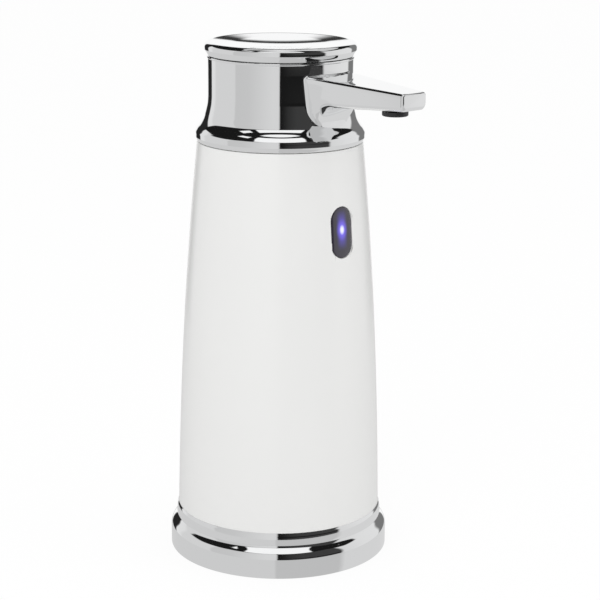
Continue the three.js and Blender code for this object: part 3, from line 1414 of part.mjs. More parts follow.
function makeScrews() {
  const baseHead = plateUnderside + screwHeadHeight + seatGap;
  const bossDepth = chassisTop + bossHeight - bossRadius - baseHead - seatGap;
  baseScrewAngles.forEach((angle, k) => {
    addPart(`base_screw_${k + 1}`, screw(bossDepth, true), 'steel', ...polar(postCircle, angle), baseHead);
  });
  gearPostAngles.forEach((angle, k) => {
    const [x, y] = polar(gearPostCircle, angle);
    const length = gearPlateTop - chassisTop - bearingDepth;
    addPart(`plate_screw_${k + 1}`, screw(length, false), 'steel', x, y + gearPlateOffset, gearPlateTop + seatGap);
  });
  [-1, 1].forEach((side, k) => {
    const length = coverTop - gearPlateBottom;
    addPart(`pump_screw_${k + 1}`, screw(length, false), 'steel', pumpMidX + side * earStepX,
      pumpMidY + side * earStepY, coverTop + seatGap);
  });
}

makeBaseRing();
makeBody();
makeHead();
makeNozzle();
makeLid();
makeTank();
makeSensor();
makeBasePlate();
makeDoor();
makeCells();
makePowerButton();
makeChassis();
makeGears();
makePump();
makeMotor();
makeTubes();
makeBoards();
makeScrews();

export default dispenser;
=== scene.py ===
# %% [markdown]
# # A soap dispenser in white and chrome
#
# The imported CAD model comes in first, at its real size. It is the fixed frame: every smooth piece that this
# lesson makes takes the place of one CAD node and rides on the same body.

import json
import math

import bmesh
import bpy
from mathutils import Matrix, Vector


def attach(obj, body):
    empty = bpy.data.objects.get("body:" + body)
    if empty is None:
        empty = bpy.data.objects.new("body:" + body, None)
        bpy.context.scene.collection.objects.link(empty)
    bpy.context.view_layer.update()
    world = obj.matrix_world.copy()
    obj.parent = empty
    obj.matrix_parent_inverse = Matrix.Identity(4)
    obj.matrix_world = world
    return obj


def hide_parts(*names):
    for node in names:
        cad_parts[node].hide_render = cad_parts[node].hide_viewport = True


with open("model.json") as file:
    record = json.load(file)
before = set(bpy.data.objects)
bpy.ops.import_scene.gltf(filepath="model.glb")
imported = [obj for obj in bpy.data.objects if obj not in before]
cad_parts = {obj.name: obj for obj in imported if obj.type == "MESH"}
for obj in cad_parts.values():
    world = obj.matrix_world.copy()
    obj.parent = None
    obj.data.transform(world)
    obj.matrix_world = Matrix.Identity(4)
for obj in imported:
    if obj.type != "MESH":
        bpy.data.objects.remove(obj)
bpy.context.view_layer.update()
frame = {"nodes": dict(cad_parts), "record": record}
nodes = frame["nodes"]
mm = 0.001
print("CAD nodes:", len(nodes))

# %% [markdown]
# ## Camera, floor and light
#
# The photograph was taken with a long lens from a little above the lid, 43 degrees to the left of the
# spout. A camera can be turned with angles or aimed with a constraint. Angles are used here, because the
# photograph also has a slight roll, which a constraint would lose.

# %% Camera
scene = bpy.context.scene
camera_distance = 825 * mm
camera_height = 327.33 * mm
camera_azimuth = math.radians(-43)
camera_yaw = math.radians(-0.65)
camera_pitch = math.radians(14.4)
camera_roll = math.radians(0.43)

camera_data = bpy.data.cameras.new("camera")
camera_data.sensor_width = 36
camera_data.lens = 112.16
camera_data.clip_start = 10 * mm
camera_data.clip_end = 100
camera = bpy.data.objects.new("camera", camera_data)
scene.collection.objects.link(camera)
stand = Matrix.Rotation(camera_azimuth, 4, "Z") @ Matrix.Translation((0, -camera_distance, camera_height))
aim = (Matrix.Rotation(camera_yaw, 4, "Z") @ Matrix.Rotation(math.radians(90) - camera_pitch, 4, "X")
       @ Matrix.Rotation(camera_roll, 4, "Z"))
camera.matrix_world = stand @ aim
scene.camera = camera
scene.view_settings.view_transform = "Standard"
print("camera at", [round(c, 4) for c in camera.matrix_world.translation])

# %% [markdown]
# A shader is easier to read as arithmetic than as a web of noodles. `Socket` wraps the output of a node,
# and writing `a * b` on two of them adds the Math node. `Nodes.add` makes any other kind of node.

# %% Shader helper


class Socket:
    def __init__(self, nodes_of, output):
        self.nodes_of = nodes_of
        self.output = output

    def math(self, operation, *others):
        values = {k + 1: value for k, value in enumerate(others)}
        return self.nodes_of.add("ShaderNodeMath", {"operation": operation}, {0: self, **values})

    def __add__(self, other):
        return self.math("ADD", other)

    def __sub__(self, other):
        return self.math("SUBTRACT", other)

    def __mul__(self, other):
        return self.math("MULTIPLY", other)

    def __truediv__(self, other):
        return self.math("DIVIDE", other)

    def __rsub__(self, other):
        return self.nodes_of.add("ShaderNodeMath", {"operation": "SUBTRACT"}, {0: other, 1: self})

    __radd__ = __add__
    __rmul__ = __mul__

    def over(self, low, high):
        """0 below low, 1 above high and a smooth ramp between them."""
        return self.nodes_of.add("ShaderNodeMapRange", {"interpolation_type": "SMOOTHSTEP"},
                                 {"Value": self, "From Min": low, "From Max": high})


class Nodes:
    def __init__(self, tree):
        self.tree = tree

    def add(self, kind, settings=None, inputs=None, output=0):
        node = self.tree.nodes.new(kind)
        for name, value in (settings or {}).items():
            if name == "stops":
                ramp = node.color_ramp
                while len(ramp.elements) < len(value):
                    ramp.elements.new(1)
                for element, (place, color) in zip(ramp.elements, value):
                    element.position = place
                    element.color = (*color, 1)
            else:
                setattr(node, name, value)
        for name, value in (inputs or {}).items():
            if isinstance(value, Socket):
                self.tree.links.new(value.output, node.inputs[name])
            else:
                node.inputs[name].default_value = value
        return Socket(self, node.outputs[output])

    def link(self, source, node, name):
        self.tree.links.new(source.output, node.inputs[name])

    def mix(self, factor, low, high):
        node = self.tree.nodes.new("ShaderNodeMix")
        node.data_type = "RGBA"
        for slot, value in ((0, factor), (6, low), (7, high)):
            if isinstance(value, Socket):
                self.tree.links.new(value.output, node.inputs[slot])
            elif slot == 0:
                node.inputs[slot].default_value = value
            else:
                node.inputs[slot].default_value = (*value, 1)
        return Socket(self, node.outputs[2])

    def xyz(self, vector):
        node = self.tree.nodes.new("ShaderNodeSeparateXYZ")
        self.tree.links.new(vector.output, node.inputs[0])
        return [Socket(self, node.outputs[k]) for k in range(3)]


def grey(value):
    return (value, value, value)


def new_material(name, **constants):
    """A Principled material with its constants set, and a Nodes helper for what varies."""
    material = bpy.data.materials.new(name)
    material.use_nodes = True
    shader = material.node_tree.nodes["Principled BSDF"]
    for socket, value in constants.items():
        label = socket.replace("_", " ")
        shader.inputs[label].default_value = (*value, 1) if isinstance(value, tuple) else value
    return material, shader, Nodes(material.node_tree)


print("shader helpers:", Socket.__name__, Nodes.__name__)

# %% [markdown]
# The background of the photograph is pure white, and the light on the object is soft and plain. A world
# that bright would wash the white body out. So only what the camera sees directly is made white, with the
# Light Path node, and the body is lit by a quieter grey.

# %% World
white_level = 1.0
room_level = 0.77
to_camera = Vector((math.sin(camera_azimuth), -math.cos(camera_azimuth)))
to_right = Vector((-to_camera.y, to_camera.x))
degree = 180 / math.pi

world = bpy.data.worlds.new("studio")
world.use_nodes = True
scene.world = world
sky = Nodes(world.node_tree)
background = world.node_tree.nodes["Background"]
is_camera = sky.add("ShaderNodeLightPath", output="Is Camera Ray")
is_glossy = sky.add("ShaderNodeLightPath", output="Is Glossy Ray")
east, north, rise = sky.xyz(sky.add("ShaderNodeTexCoord", output="Generated"))

# Two angles of the studio: how far to the right of the photograph's side, and how far up.
ahead = east * to_camera.x + north * to_camera.y
turn = (east * to_right.x + north * to_right.y).math("ARCTAN2", ahead) * degree
climb = rise.math("ARCSINE") * degree
print("world:", world.name)

# %% [markdown]
# Chrome has no colour of its own: what it shows is the room. The reflections in the photograph fit a room
# with light walls that end in a black ceiling at 20 to 40 degrees, a tall black card right of the camera,
# and a broad soft light above the front. A narrow black gap lies between the walls and the light, and draws
# the fine dark lines along every rolled edge. Cards and lamps could stand round the object, but the object
# would then shade the near ones. The world is far away, so one panorama of greys holds all of them. Its
# angles are in degrees.

# %% What the chrome sees
turn_share = turn / 360 + 0.5
black = grey(0.01)
side_blur, edge_blur = 3, 1.2
card_left, card_right = -1.5, 69


def tones(*stops):
    """Grey all round the studio: pairs of azimuth and tone, joined by straight lines."""
    places = [((azimuth + 180) / 360, grey(tone)) for azimuth, tone in stops]
    return sky.add("ShaderNodeValToRGB", {"stops": places}, {"Fac": turn_share})


def patch(left, right, low, high):
    """1 inside a window of the studio and 0 outside, with soft edges."""
    wide = turn.over(left, left + side_blur) * (1 - turn.over(right - side_blur, right))
    return wide * climb.over(low, low + edge_blur) * (1 - climb.over(high - edge_blur, high))


wall = tones((-180, 1.0), (-158, 1.0), (-156, 0.02), (-137, 0.02), (-135, 0.8), (-125, 0.78), (-120, 0.69),
             (-76, 0.69), (-73, 0.585), (-50, 0.6), (-12, 0.71), (-1.6, 0.71), (-0.8, 0.006), (5, 0.015),
             (12, 0.03), (25, 0.045), (68, 0.05), (72, 0.72), (100, 0.78), (130, 0.8), (134, 0.2), (158, 0.2),
             (160, 1.0), (180, 1.0))
ground = tones((-180, 0.65), (-4, 0.65), (-2, 0.55), (68, 0.55), (76, 0.7), (180, 0.7))
wall_top = tones(*[(azimuth, height / 90) for azimuth, height in (
    (-180, 31), (-150, 20), (-116, 23), (-83, 31), (-60, 37), (-26, 41), (-3, 41), (0, 34), (25, 41),
    (60, 41), (80, 33), (110, 30), (150, 22), (180, 31))])

# A small dark patch behind the object darkens the lid's dish. The card is darkest in a band below eye
# level.
behind = turn.math("ABSOLUTE").over(177, 178.4) * climb.over(8.2, 9.4) * (1 - climb.over(11, 14))
wall = sky.mix(behind, wall, grey(0.04))
deep = turn.over(card_left, card_left + 1) * (1 - turn.over(card_right - 1, card_right))
wall = sky.mix(deep * climb.over(-9.8, -7.6) * (1 - climb.over(-5, -3)), wall, black)
room = sky.mix(climb.over(-13.6, -12.6), ground, wall)
room = sky.mix((climb - wall_top * 90).over(-0.8, 0.8), room, black)

# The lights: left, right, low and high edge, and level.
lights = {
    "main": (-44, 44, 41.5, 57.5, 1.0),
    "upper": (-62, 57, 66, 95, 1.0),
    "left": (-79, -54, 45.5, 55.5, 1.0),
    "right": (78, 165, 39.5, 95, 0.6),
    "back_right": (100, 190, 60, 95, 0.8),
    "back_left": (-190, -100, 60, 95, 0.8),
}
for left, right, low, high, level in lights.values():
    room = sky.mix(patch(left, right, low, high), room, grey(level))
seen = sky.mix(is_glossy, grey(room_level), room)
seen = sky.mix(is_camera, seen, grey(white_level))
sky.link(seen, background, "Color")
print("lights that the chrome sees:", len(lights))

# %% [markdown]
# The object stands on a white table without an edge. The floor could be a shadow catcher, but that needs a
# second layer behind it. Instead most of what the camera sees of it is plain white light, and a tenth is a
# matt surface that keeps the faint shadow. From below it is clear, so that the underside can be looked at.

# %% Floor
floor_size = 6.0
floor_faint = 0.1
floor_glow = 1.02

bpy.ops.mesh.primitive_grid_add(x_subdivisions=8, y_subdivisions=8, size=floor_size, location=(0, 0, 0))
floor = bpy.context.object
floor.name = "floor"
floor_material = bpy.data.materials.new("floor_white")
floor_material.use_nodes = True
paint = Nodes(floor_material.node_tree)
floor_material.node_tree.nodes.remove(floor_material.node_tree.nodes["Principled BSDF"])
floor_output = floor_material.node_tree.nodes["Material Output"]
matt = paint.add("ShaderNodeBsdfDiffuse", None, {"Color": (0.86, 0.86, 0.86, 1)})
glow = paint.add("ShaderNodeEmission", None, {"Color": (1, 1, 1, 1), "Strength": floor_glow * white_level})
from_camera = paint.add("ShaderNodeLightPath", output="Is Camera Ray")
mixed = paint.add("ShaderNodeMixShader", None, {0: from_camera * (1 - floor_faint), 1: matt, 2: glow})
clear = paint.add("ShaderNodeBsdfTransparent", None, {"Color": (1, 1, 1, 1)})
from_below = paint.add("ShaderNodeNewGeometry", output="Backfacing")
surface = paint.add("ShaderNodeMixShader", None, {0: from_below, 1: mixed, 2: clear})
paint.link(surface, floor_output, "Surface")
floor.data.materials.append(floor_material)
floor.visible_glossy = False
print("floor:", floor_size, "m")

# %% [markdown]
# Two wide lamps give the body its soft roundness. Small lamps or a sun would draw hard edges on the white.
# Lamps can be seen in chrome, where a bare rectangle looks wrong, so they are hidden from glossy rays, and
# the world makes the reflections.

# %% Lamps
lamp_distance = 1.6
lamp_target = Vector((0, 0, 120 * mm))


def add_lamp(name, azimuth, elevation, size, power):
    """A square lamp aimed at the body, with its azimuth counted from the camera's."""
    data = bpy.data.lights.new(name, "AREA")
    data.shape = "SQUARE"
    data.size = size
    data.energy = power
    lamp = bpy.data.objects.new(name, data)
    scene.collection.objects.link(lamp)
    tilt = math.radians(elevation)
    place = Matrix.Rotation(camera_azimuth + math.radians(azimuth), 4, "Z") @ Vector(
        (0, -lamp_distance * math.cos(tilt), lamp_distance * math.sin(tilt) + lamp_target.z))
    lamp.location = place
    lamp.rotation_euler = (lamp_target - place).to_track_quat("-Z", "Y").to_euler()
    lamp.visible_glossy = False
    print(name, power, "W")


add_lamp("lamp_front", -20, 35, 1.2, 6.5)
add_lamp("lamp_side", 75, 30, 1.0, 2.8)

# %% [markdown]
# ## Finishes
#
# Polished chrome is a metal with almost no roughness. A perfect mirror looks computed, so a faint large
# noise moves the roughness and a very fine one stands for the polish. The plastics share one recipe, and a
# table holds what differs between them. All patterns read Object coordinates, which are the CAD frame's
# metres on every piece.

# %% Finishes


def chrome_finish():
    material, shader, build = new_material("polished_chrome", Metallic=1.0, Base_Color=(0.9, 0.905, 0.91))
    place = build.add("ShaderNodeTexCoord", output="Object")
    cloud = build.add("ShaderNodeTexNoise", None, {"Vector": place, "Scale": 60.0, "Detail": 3.0})
    build.link(cloud * 0.035 + 0.02, shader, "Roughness")
    fine = build.add("ShaderNodeTexNoise", None, {"Vector": place, "Scale": 2500.0, "Detail": 2.0})
    bump = build.add("ShaderNodeBump", None, {"Height": fine, "Strength": 0.02, "Distance": 0.02 * mm})
    build.link(bump, shader, "Normal")
    return material


def steel_finish():
    material, shader, build = new_material("steel", Metallic=1.0)
    place = build.add("ShaderNodeTexCoord", output="Object")
    stretched = build.add("ShaderNodeMapping", None, {"Vector": place, "Scale": (400, 400, 4000)})
    brush = build.add("ShaderNodeTexNoise", None, {"Vector": stretched, "Scale": 1.0, "Detail": 3.0})
    build.link(build.mix(brush, grey(0.5), grey(0.66)), shader, "Base Color")
    build.link(brush * 0.2 + 0.22, shader, "Roughness")
    return material


def plastic_finish(name, color, rough, grain, variation, **constants):
    """Moulded plastic: a slow drift of tone, a moving roughness and an optional moulded grain."""
    material, shader, build = new_material(name, **constants)
    place = build.add("ShaderNodeTexCoord", output="Object")
    drift = build.add("ShaderNodeTexNoise", None, {"Vector": place, "Scale": 35.0, "Detail": 2.0})
    low = tuple(c * (1 - variation) for c in color)
    build.link(build.mix(drift, low, color), shader, "Base Color")
    build.link(drift * 0.1 + (rough - 0.05), shader, "Roughness")
    if grain:
        grit = build.add("ShaderNodeTexNoise", None, {"Vector": place, "Scale": 3200.0, "Detail": 2.0})
        bump = build.add("ShaderNodeBump", None, {"Height": grit, "Strength": grain, "Distance": 0.05 * mm})
        build.link(bump, shader, "Normal")
    return material


# Colour, roughness, strength of the grain and drift of the tone for each slot.
plastics = {
    "white_body": ((0.86, 0.86, 0.85), 0.32, 0.0, 0.012),
    "black_plastic": ((0.018, 0.018, 0.02), 0.42, 0.25, 0.2),
    "grey_plastic": ((0.16, 0.165, 0.175), 0.5, 0.4, 0.08),
    "acetal": ((0.83, 0.81, 0.75), 0.4, 0.1, 0.03),
    "tank_plastic": ((0.78, 0.82, 0.84), 0.3, 0.1, 0.03),
    "rubber": ((0.025, 0.025, 0.026), 0.75, 0.6, 0.25),
    "silicone": ((0.72, 0.74, 0.73), 0.45, 0.1, 0.03),
    "led": ((0.1, 0.12, 0.8), 0.2, 0.0, 0.03),
    "circuit_board": ((0.03, 0.16, 0.07), 0.4, 0.1, 0.15),
    "cell_wrap": ((0.04, 0.045, 0.055), 0.3, 0.05, 0.1),
    "lead_sleeve": ((0.02, 0.02, 0.022), 0.55, 0.2, 0.1),
}
extras = {
    "white_body": {"Coat_Weight": 0.25, "Coat_Roughness": 0.12},
    "led": {"Emission_Color": (0.15, 0.18, 1.0), "Emission_Strength": 2.0},
}
finishes = {slot: plastic_finish(slot, *look, **extras.get(slot, {})) for slot, look in plastics.items()}
finishes["chrome_shell"] = chrome_finish()
finishes["steel"] = steel_finish()
print("finishes:", len(finishes))

# %% [markdown]
# The window is one dark violet lens. In the photograph a small lamp shines through its middle: a white-hot
# spot, a blue ring round it and a weaker blue above and below. It could be a lamp behind glass, but a lens
# this dark would need a very strong one, so the lens itself glows where the light comes through.

# %% Lens finish
window_centre = 153.4 * mm
hot_spot = 154.6 * mm
spot_half_width, spot_half_height = 1.75, 2.6


def lens_finish():
    material, shader, build = new_material("dark_lens", Roughness=0.1, IOR=1.5, Emission_Strength=1.0,
                                           Coat_Weight=0.6, Coat_Roughness=0.03)
    sideways, _, up = build.xyz(build.add("ShaderNodeTexCoord", output="Object"))
    side = sideways / mm
    height = (up - hot_spot) / mm
    reach = (side * side / spot_half_width ** 2 + height * height / spot_half_height ** 2).math("SQRT")
    hot = 1 - reach.over(0.25, 1.0)
    ring = 1 - reach.over(0.6, 2.1)
    glow_column = (1 - side.math("ABSOLUTE").over(0.5, 3.6)) * (1 - height.math("ABSOLUTE").over(3.0, 9.5))
    # Painted light: the lamp's glow is painted on the lens. The base colour is a lighter blue in the column
    # where the light passes, and the emission paints the hot spot, its blue ring and the weaker blue above
    # and below.
    build.link(build.mix(glow_column, (0.035, 0.03, 0.045), (0.05, 0.04, 0.16)), shader, "Base Color")
    light = build.mix(glow_column * 0.55, grey(0.0), (0.07, 0.05, 0.42))
    light = build.mix(ring * 0.8, light, (0.16, 0.11, 0.85))
    light = build.mix(hot, light, (0.85, 0.87, 1.0))
    build.link(light, shader, "Emission Color")
    return material


finishes["dark_lens"] = lens_finish()
print("finishes with the lens:", len(finishes))

# %% [markdown]
# Every CAD node gets the finish of its slot in the record. Those that show from outside get a smoother
# piece of their own further down.

# %% Finish the CAD nodes
for part in frame["record"]["subparts"]:
    holder = nodes[part["node"]]
    holder.data.materials.clear()
    holder.data.materials.append(finishes[part["material_slot"]])

# %% [markdown]
# ## Turned pieces
#
# Ring, body, neck, lid and nozzle are all turned forms. On a lathe the tool walks along a profile, and the
# same walk works in edit mode: a circle is added at the first point, and for each next point the ring is
# extruded and scaled. Spinning a profile would do as well, but walking keeps the rings clean and closes
# poles with one merge.

# %% Lathe helper
sides = 160
smooth_limit = math.radians(38)
on_axis = 0.01


def select(*pieces):
    """Selects these pieces alone; the last one becomes the active one."""
    for thing in bpy.context.selected_objects:
        thing.select_set(False)
    for piece in pieces:
        piece.select_set(True)
        bpy.context.view_layer.objects.active = piece


def turned(name, profile, count=sides):
    """A closed solid from (radius, height) points in millimetres; a radius of 0 closes on the axis."""
    select()
    (radius, height), *rest = profile
    bpy.ops.mesh.primitive_circle_add(vertices=count, radius=max(radius, on_axis) * mm, fill_type="NOTHING",
                                      location=(0, 0, 0))
    piece = bpy.context.object
    piece.name = name
    bpy.ops.object.mode_set(mode="EDIT")
    bpy.ops.mesh.select_all(action="SELECT")
    bpy.ops.transform.translate(value=(0, 0, height * mm))
    for next_radius, next_height in rest:
        step = (0, 0, (next_height - height) * mm)
        bpy.ops.mesh.extrude_region_move(TRANSFORM_OT_translate={"value": step})
        grow = max(next_radius, on_axis) / max(radius, on_axis)
        bpy.ops.transform.resize(value=(grow, grow, 1), center_override=(0, 0, next_height * mm))
        radius, height = next_radius, next_height
    bpy.ops.mesh.select_all(action="DESELECT")
    bpy.ops.mesh.select_mode(type="VERT")
    bpy.ops.mesh.select_non_manifold()
    if profile[0][0] > 0:
        bpy.ops.mesh.bridge_edge_loops()
    else:
        bpy.ops.mesh.select_all(action="SELECT")
        bpy.ops.mesh.remove_doubles(threshold=3 * on_axis * mm)
    bpy.ops.mesh.select_all(action="SELECT")
    bpy.ops.mesh.normals_make_consistent(inside=False)
    bpy.ops.object.mode_set(mode="OBJECT")
    bpy.ops.object.shade_smooth_by_angle(angle=smooth_limit)
    return piece


def arc(centre_radius, centre_height, radius, start, end, steps, tall=None):
    """Points on an arc of a profile, between two angles in degrees."""
    tall = radius if tall is None else tall
    angles = [math.radians(start + (end - start) * k / steps) for k in range(steps + 1)]
    return [(centre_radius + radius * math.cos(a), centre_height + tall * math.sin(a)) for a in angles]


def dress(piece, body, slot, *replaced):
    """Finish, body and CAD nodes of a new piece."""
    piece.data.materials.clear()
    piece.data.materials.append(finishes[slot])
    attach(piece, body)
    if replaced:
        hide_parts(*replaced)
    low = [min(v.co[k] for v in piece.data.vertices) / mm for k in range(3)]
    high = [max(v.co[k] for v in piece.data.vertices) / mm for k in range(3)]
    print(piece.name, "from", [round(c, 2) for c in low], "to", [round(c, 2) for c in high], "mm")


print("sides of a turned piece:", sides)

# %% [markdown]
# The base ring is one polished pressing: an upright lower band, a rounded shoulder, a groove, a short upper
# band and a crown that leans in to a thin lip against the white body. It could be four bevelled discs, but
# their joins would break the reflections. One profile, with its points where the photograph's bright and
# dark bands change, keeps them whole.

# %% Base ring
ring_profile = (
    arc(49.7, 0.35, 0.3, -90, 0, 6)
    + [(50, 3), (50, 8.0), (49.97, 9.0), (49.86, 9.8), (49.66, 10.5), (49.36, 11.15), (48.95, 11.8),
       (48.4, 12.5), (47.8, 13.25), (47.15, 14.15), (47.05, 14.5)]  # lower band and shoulder, to the groove
    + [(47.2, 14.8), (47.2, 16.0), (47.17, 16.8), (47.12, 17.5), (47.06, 18.2), (46.99, 18.8), (46.9, 19.25),
       (46.72, 19.6), (46.5, 19.97), (46.45, 20.2)]  # upper band, crown and lip
    + [(46.45, 18.99), (45.21, 18.99), (45.21, 11.6), (43.91, 11.6), (43.91, 9.0), (47.8, 9.0), (47.8, 0.3),
       (47.9, 0.2)]  # inside
)
dress(turned("ring", ring_profile), "housing", "chrome_shell", "base_ring")

# %% [markdown]
# The body is one moulded shell. Its taper is not straight: it starts almost upright and leans in more and
# more. A cone with a bend modifier would come near, but one formula for the radius at each height follows
# the outline in the photograph, and the lens can use it too. The window is cut by a capsule-shaped bar, and
# its rim is bevelled.

# %% White body
seam_height, shoulder_height, wall_end = 20.3, 189.1, 188.8
seam_radius, taper, straight, bend = 46.4, 9.35, 0.35, 2.2
wall_steps, wall_thickness = 60, 2.2
window_radius, window_straight = 6.35, 5.05
bar_near, bar_far = 30, 50
rim_angle, rim_depth, rim_band = math.radians(50), 1.2, 0.25


def body_radius(height):
    share = min(max((height - seam_height) / (shoulder_height - seam_height), 0), 1)
    return seam_radius - taper * (straight * share + (1 - straight) * share ** bend)


outer_wall = [(body_radius(h), h) for h in
              (seam_height + (wall_end - seam_height) * k / wall_steps for k in range(wall_steps + 1))]
body_profile = (
    [(43.61, 11.9), (44.9, 11.9), (44.9, 19.29), (46.3, 19.29), (46.4, 19.4)]
    + outer_wall + arc(36.85, 188.9, 0.2, 0, 90, 3)
    + [(34.8, 189.1), (34.8, 193.9), (33.1, 193.9), (33.1, 189.1)]
    + [(body_radius(h) - wall_thickness, h) for h in (186.9, 160, 130, 100, 70, 45, 20.9)] + [(43.61, 20.3)]
)
body = turned("body", body_profile)


def capsule_cutter(name, grow):
    """A capsule-shaped bar along Y through the window, grown by a margin in millimetres."""
    select()
    bpy.ops.mesh.primitive_cylinder_add(vertices=96, radius=(window_radius + grow) * mm,
                                        depth=(bar_far - bar_near) * mm,
                                        location=(0, -(bar_near + bar_far) / 2 * mm, window_centre),
                                        rotation=(math.radians(90), 0, 0))
    cutter = bpy.context.object
    cutter.name = name
    bpy.ops.object.transform_apply(location=True, rotation=True)
    for vertex in cutter.data.vertices:
        vertex.co.z += math.copysign(window_straight * mm, vertex.co.z - window_centre)
    return cutter


def cut(piece, cutter, operation):
    """Applies a boolean and deletes the cutter."""
    select(piece)
    modifier = piece.modifiers.new("cut", "BOOLEAN")
    modifier.operation = operation
    modifier.object = cutter
    modifier.solver = "EXACT"
    bpy.ops.object.modifier_apply(modifier=modifier.name)
    bpy.data.objects.remove(cutter)


cut(body, capsule_cutter("window_cutter", 0), "DIFFERENCE")


def round_rim(piece, grow, width):
    """Bevels the outer edge of the window opening or of the lens."""
    select(piece)
    bpy.ops.object.mode_set(mode="EDIT")
    bpy.ops.mesh.select_mode(type="EDGE")
    bpy.ops.mesh.select_all(action="DESELECT")
    mesh = bmesh.from_edit_mesh(piece.data)
    chosen = 0
    for edge in mesh.edges:
        sharp = len(edge.link_faces) == 2 and edge.calc_face_angle(0) > rim_angle
        middle = (edge.verts[0].co + edge.verts[1].co) / 2
        up = abs(middle.z - window_centre) / mm
        off = math.hypot(middle.x / mm, max(up - window_straight, 0))
        outside = math.hypot(middle.x, middle.y) / mm > body_radius(middle.z / mm) - rim_depth
        if sharp and outside and middle.y < 0 and abs(off - window_radius - grow) < rim_band:
            edge.select_set(True)
            chosen += 1
    bmesh.update_edit_mesh(piece.data)
    bpy.ops.mesh.bevel(offset=width * mm, segments=4, affect="EDGES")
    bpy.ops.object.mode_set(mode="OBJECT")
    bpy.ops.object.shade_smooth_by_angle(angle=smooth_limit)
    print(piece.name, "rim edges rounded:", chosen)


round_rim(body, 0, 0.35)
dress(body, "housing", "white_body", "body_shell")

# %% [markdown]
# The lens is a moulded window, a hair smaller than its opening, and follows the body's curve a little below
# its surface. A flat capsule would stand proud in the middle or sink at the sides. So a thin skin of the
# body's own form is turned, and the same capsule bar, a touch smaller, keeps the part of it that fills the
# opening.

# %% Sensor lens
lens_gap, lens_front, lens_back = 0.22, 0.35, 2.4
skin_foot, skin_step, skin_rings = 134.2, 2.9, 15
skin = [skin_foot + skin_step * k for k in range(skin_rings)]
lens_skin = turned("lens", [(body_radius(h) - lens_front, h) for h in skin]
                   + [(body_radius(h) - lens_back, h) for h in reversed(skin)])
cut(lens_skin, capsule_cutter("lens_cutter", -lens_gap), "INTERSECT")
round_rim(lens_skin, -lens_gap, 0.4)
dress(lens_skin, "housing", "dark_lens", "sensor_lens")

# %% [markdown]
# ## Head
#
# The head is one chromed casting: an upright collar on the body's shoulder, a flare that sweeps in to the
# waisted neck, and the spout. Collar, flare and neck are round, so they are turned. A torus and a cylinder
# with a fillet between them would be quicker, but the flare isn't a circle's arc. Its line holds what the
# outline shows: pairs of height and radius with a smooth curve through them.

# %% Collar and neck
neck_line = [(194.6, 37.48), (195.2, 37.15), (195.8, 36.8), (196.3, 36.45), (197.0, 35.85), (197.7, 35.3),
             (198.3, 34.9), (199.0, 34.5), (199.7, 34.2), (200.3, 34.0), (201.0, 33.83), (201.7, 33.7),
             (203.0, 33.35), (204.5, 33.0), (206.0, 32.7), (208.0, 32.52), (210.0, 32.45), (230.0, 32.45)]
flare_steps, flare_end = 64, 222


def neck_radius(height):
    """Radius of the flare and the neck at a height, on a smooth curve through the line's points."""
    height = min(max(height, neck_line[0][0]), neck_line[-1][0] - 0.01)
    k = next(n for n in range(len(neck_line) - 1) if height < neck_line[n + 1][0])
    (low, first), (high, last) = neck_line[k:k + 2]
    before = neck_line[max(k - 1, 0)]
    after = neck_line[min(k + 2, len(neck_line) - 1)]
    start_slope = (last - before[1]) / (high - before[0])
    end_slope = (after[1] - first) / (after[0] - low)
    t, wide = (height - low) / (high - low), high - low
    return ((2 * t ** 3 - 3 * t ** 2 + 1) * first + (t ** 3 - 2 * t ** 2 + t) * wide * start_slope
            + (3 * t ** 2 - 2 * t ** 3) * last + (t ** 3 - t ** 2) * wide * end_slope)


flare_start = neck_line[0][0]
flare = [(neck_radius(h), h) for h in
         (flare_start + (flare_end - flare_start) * k / flare_steps for k in range(flare_steps + 1))]
neck_profile = (
    [(35.1, 189.5), (36.7, 189.35), (36.9, 189.4), (37.2, 189.7), (37.5, 190.6), (37.75, 191.15),
     (37.9, 191.3), (37.95, 191.4), (37.95, 191.6), (37.95, 193.0), (37.95, 193.15), (37.92, 193.5),
     (37.83, 193.9), (37.68, 194.25)]
    + flare
    + [(32.5, 226.0)] + arc(32.55, 226.6, 0.25, -60, 60, 8, 0.5)
    + [(32.4, 227.19), (30.8, 227.19), (30.8, 222.0), (30.3, 222.0), (30.3, 206.5), (32.6, 199.4),
       (34.0, 196.7), (35.1, 194.2)]
)
neck = turned("neck", neck_profile)
print("neck rings:", len(neck_profile))

# %% [markdown]
# The spout could be a stretched box with bevelled edges, but its root is not a box: it widens to a shield
# that sits on the round neck with a small fillet, and its underside sweeps down in an arch. So its sections
# are laid out one by one from the neck to the tip. Each ring is extruded from the last one and its points
# are put on the section.

# %% Spout sections
root_reach, first_reach, taper_reach, tip_reach = 29.3, 34.0, 82.1, 81.5
root_half, tip_half = 14.1, 7.0
root_top, top_fall = 221.5, 2.8
arch_share, arch_reach = 0.4, 45
arch_foot, arch_width, arch_height, under_rise = 199.3, 11.6, 10.2, 1.9
low_round, high_round, root_round, root_lean = 2.0, 1.3, 5.0, 0.16
corner_steps, side_steps = 8, 5


def spout_half(reach):
    """Half of the spout's width."""
    return root_half + (tip_half - root_half) * (reach - root_reach) / (taper_reach - root_reach)


def spout_top(reach):
    """Height of the spout's top."""
    return root_top - top_fall * (reach - root_reach) / (taper_reach - root_reach)


def spout_line(share):
    """Bottom and top (reach, height) of the ring at a share of the way from the neck to the tip."""
    if share < arch_share:
        swing = share / arch_share * math.pi / 2
        bottom = (arch_reach - arch_width * math.cos(swing), arch_foot + arch_height * math.sin(swing))
        reach = first_reach + (arch_reach - first_reach) * share / arch_share
    else:
        after = (share - arch_share) / (1 - arch_share)
        reach = arch_reach + (tip_reach - arch_reach) * after
        bottom = (reach, arch_foot + arch_height + under_rise * after)
    return bottom, (reach, spout_top(reach))


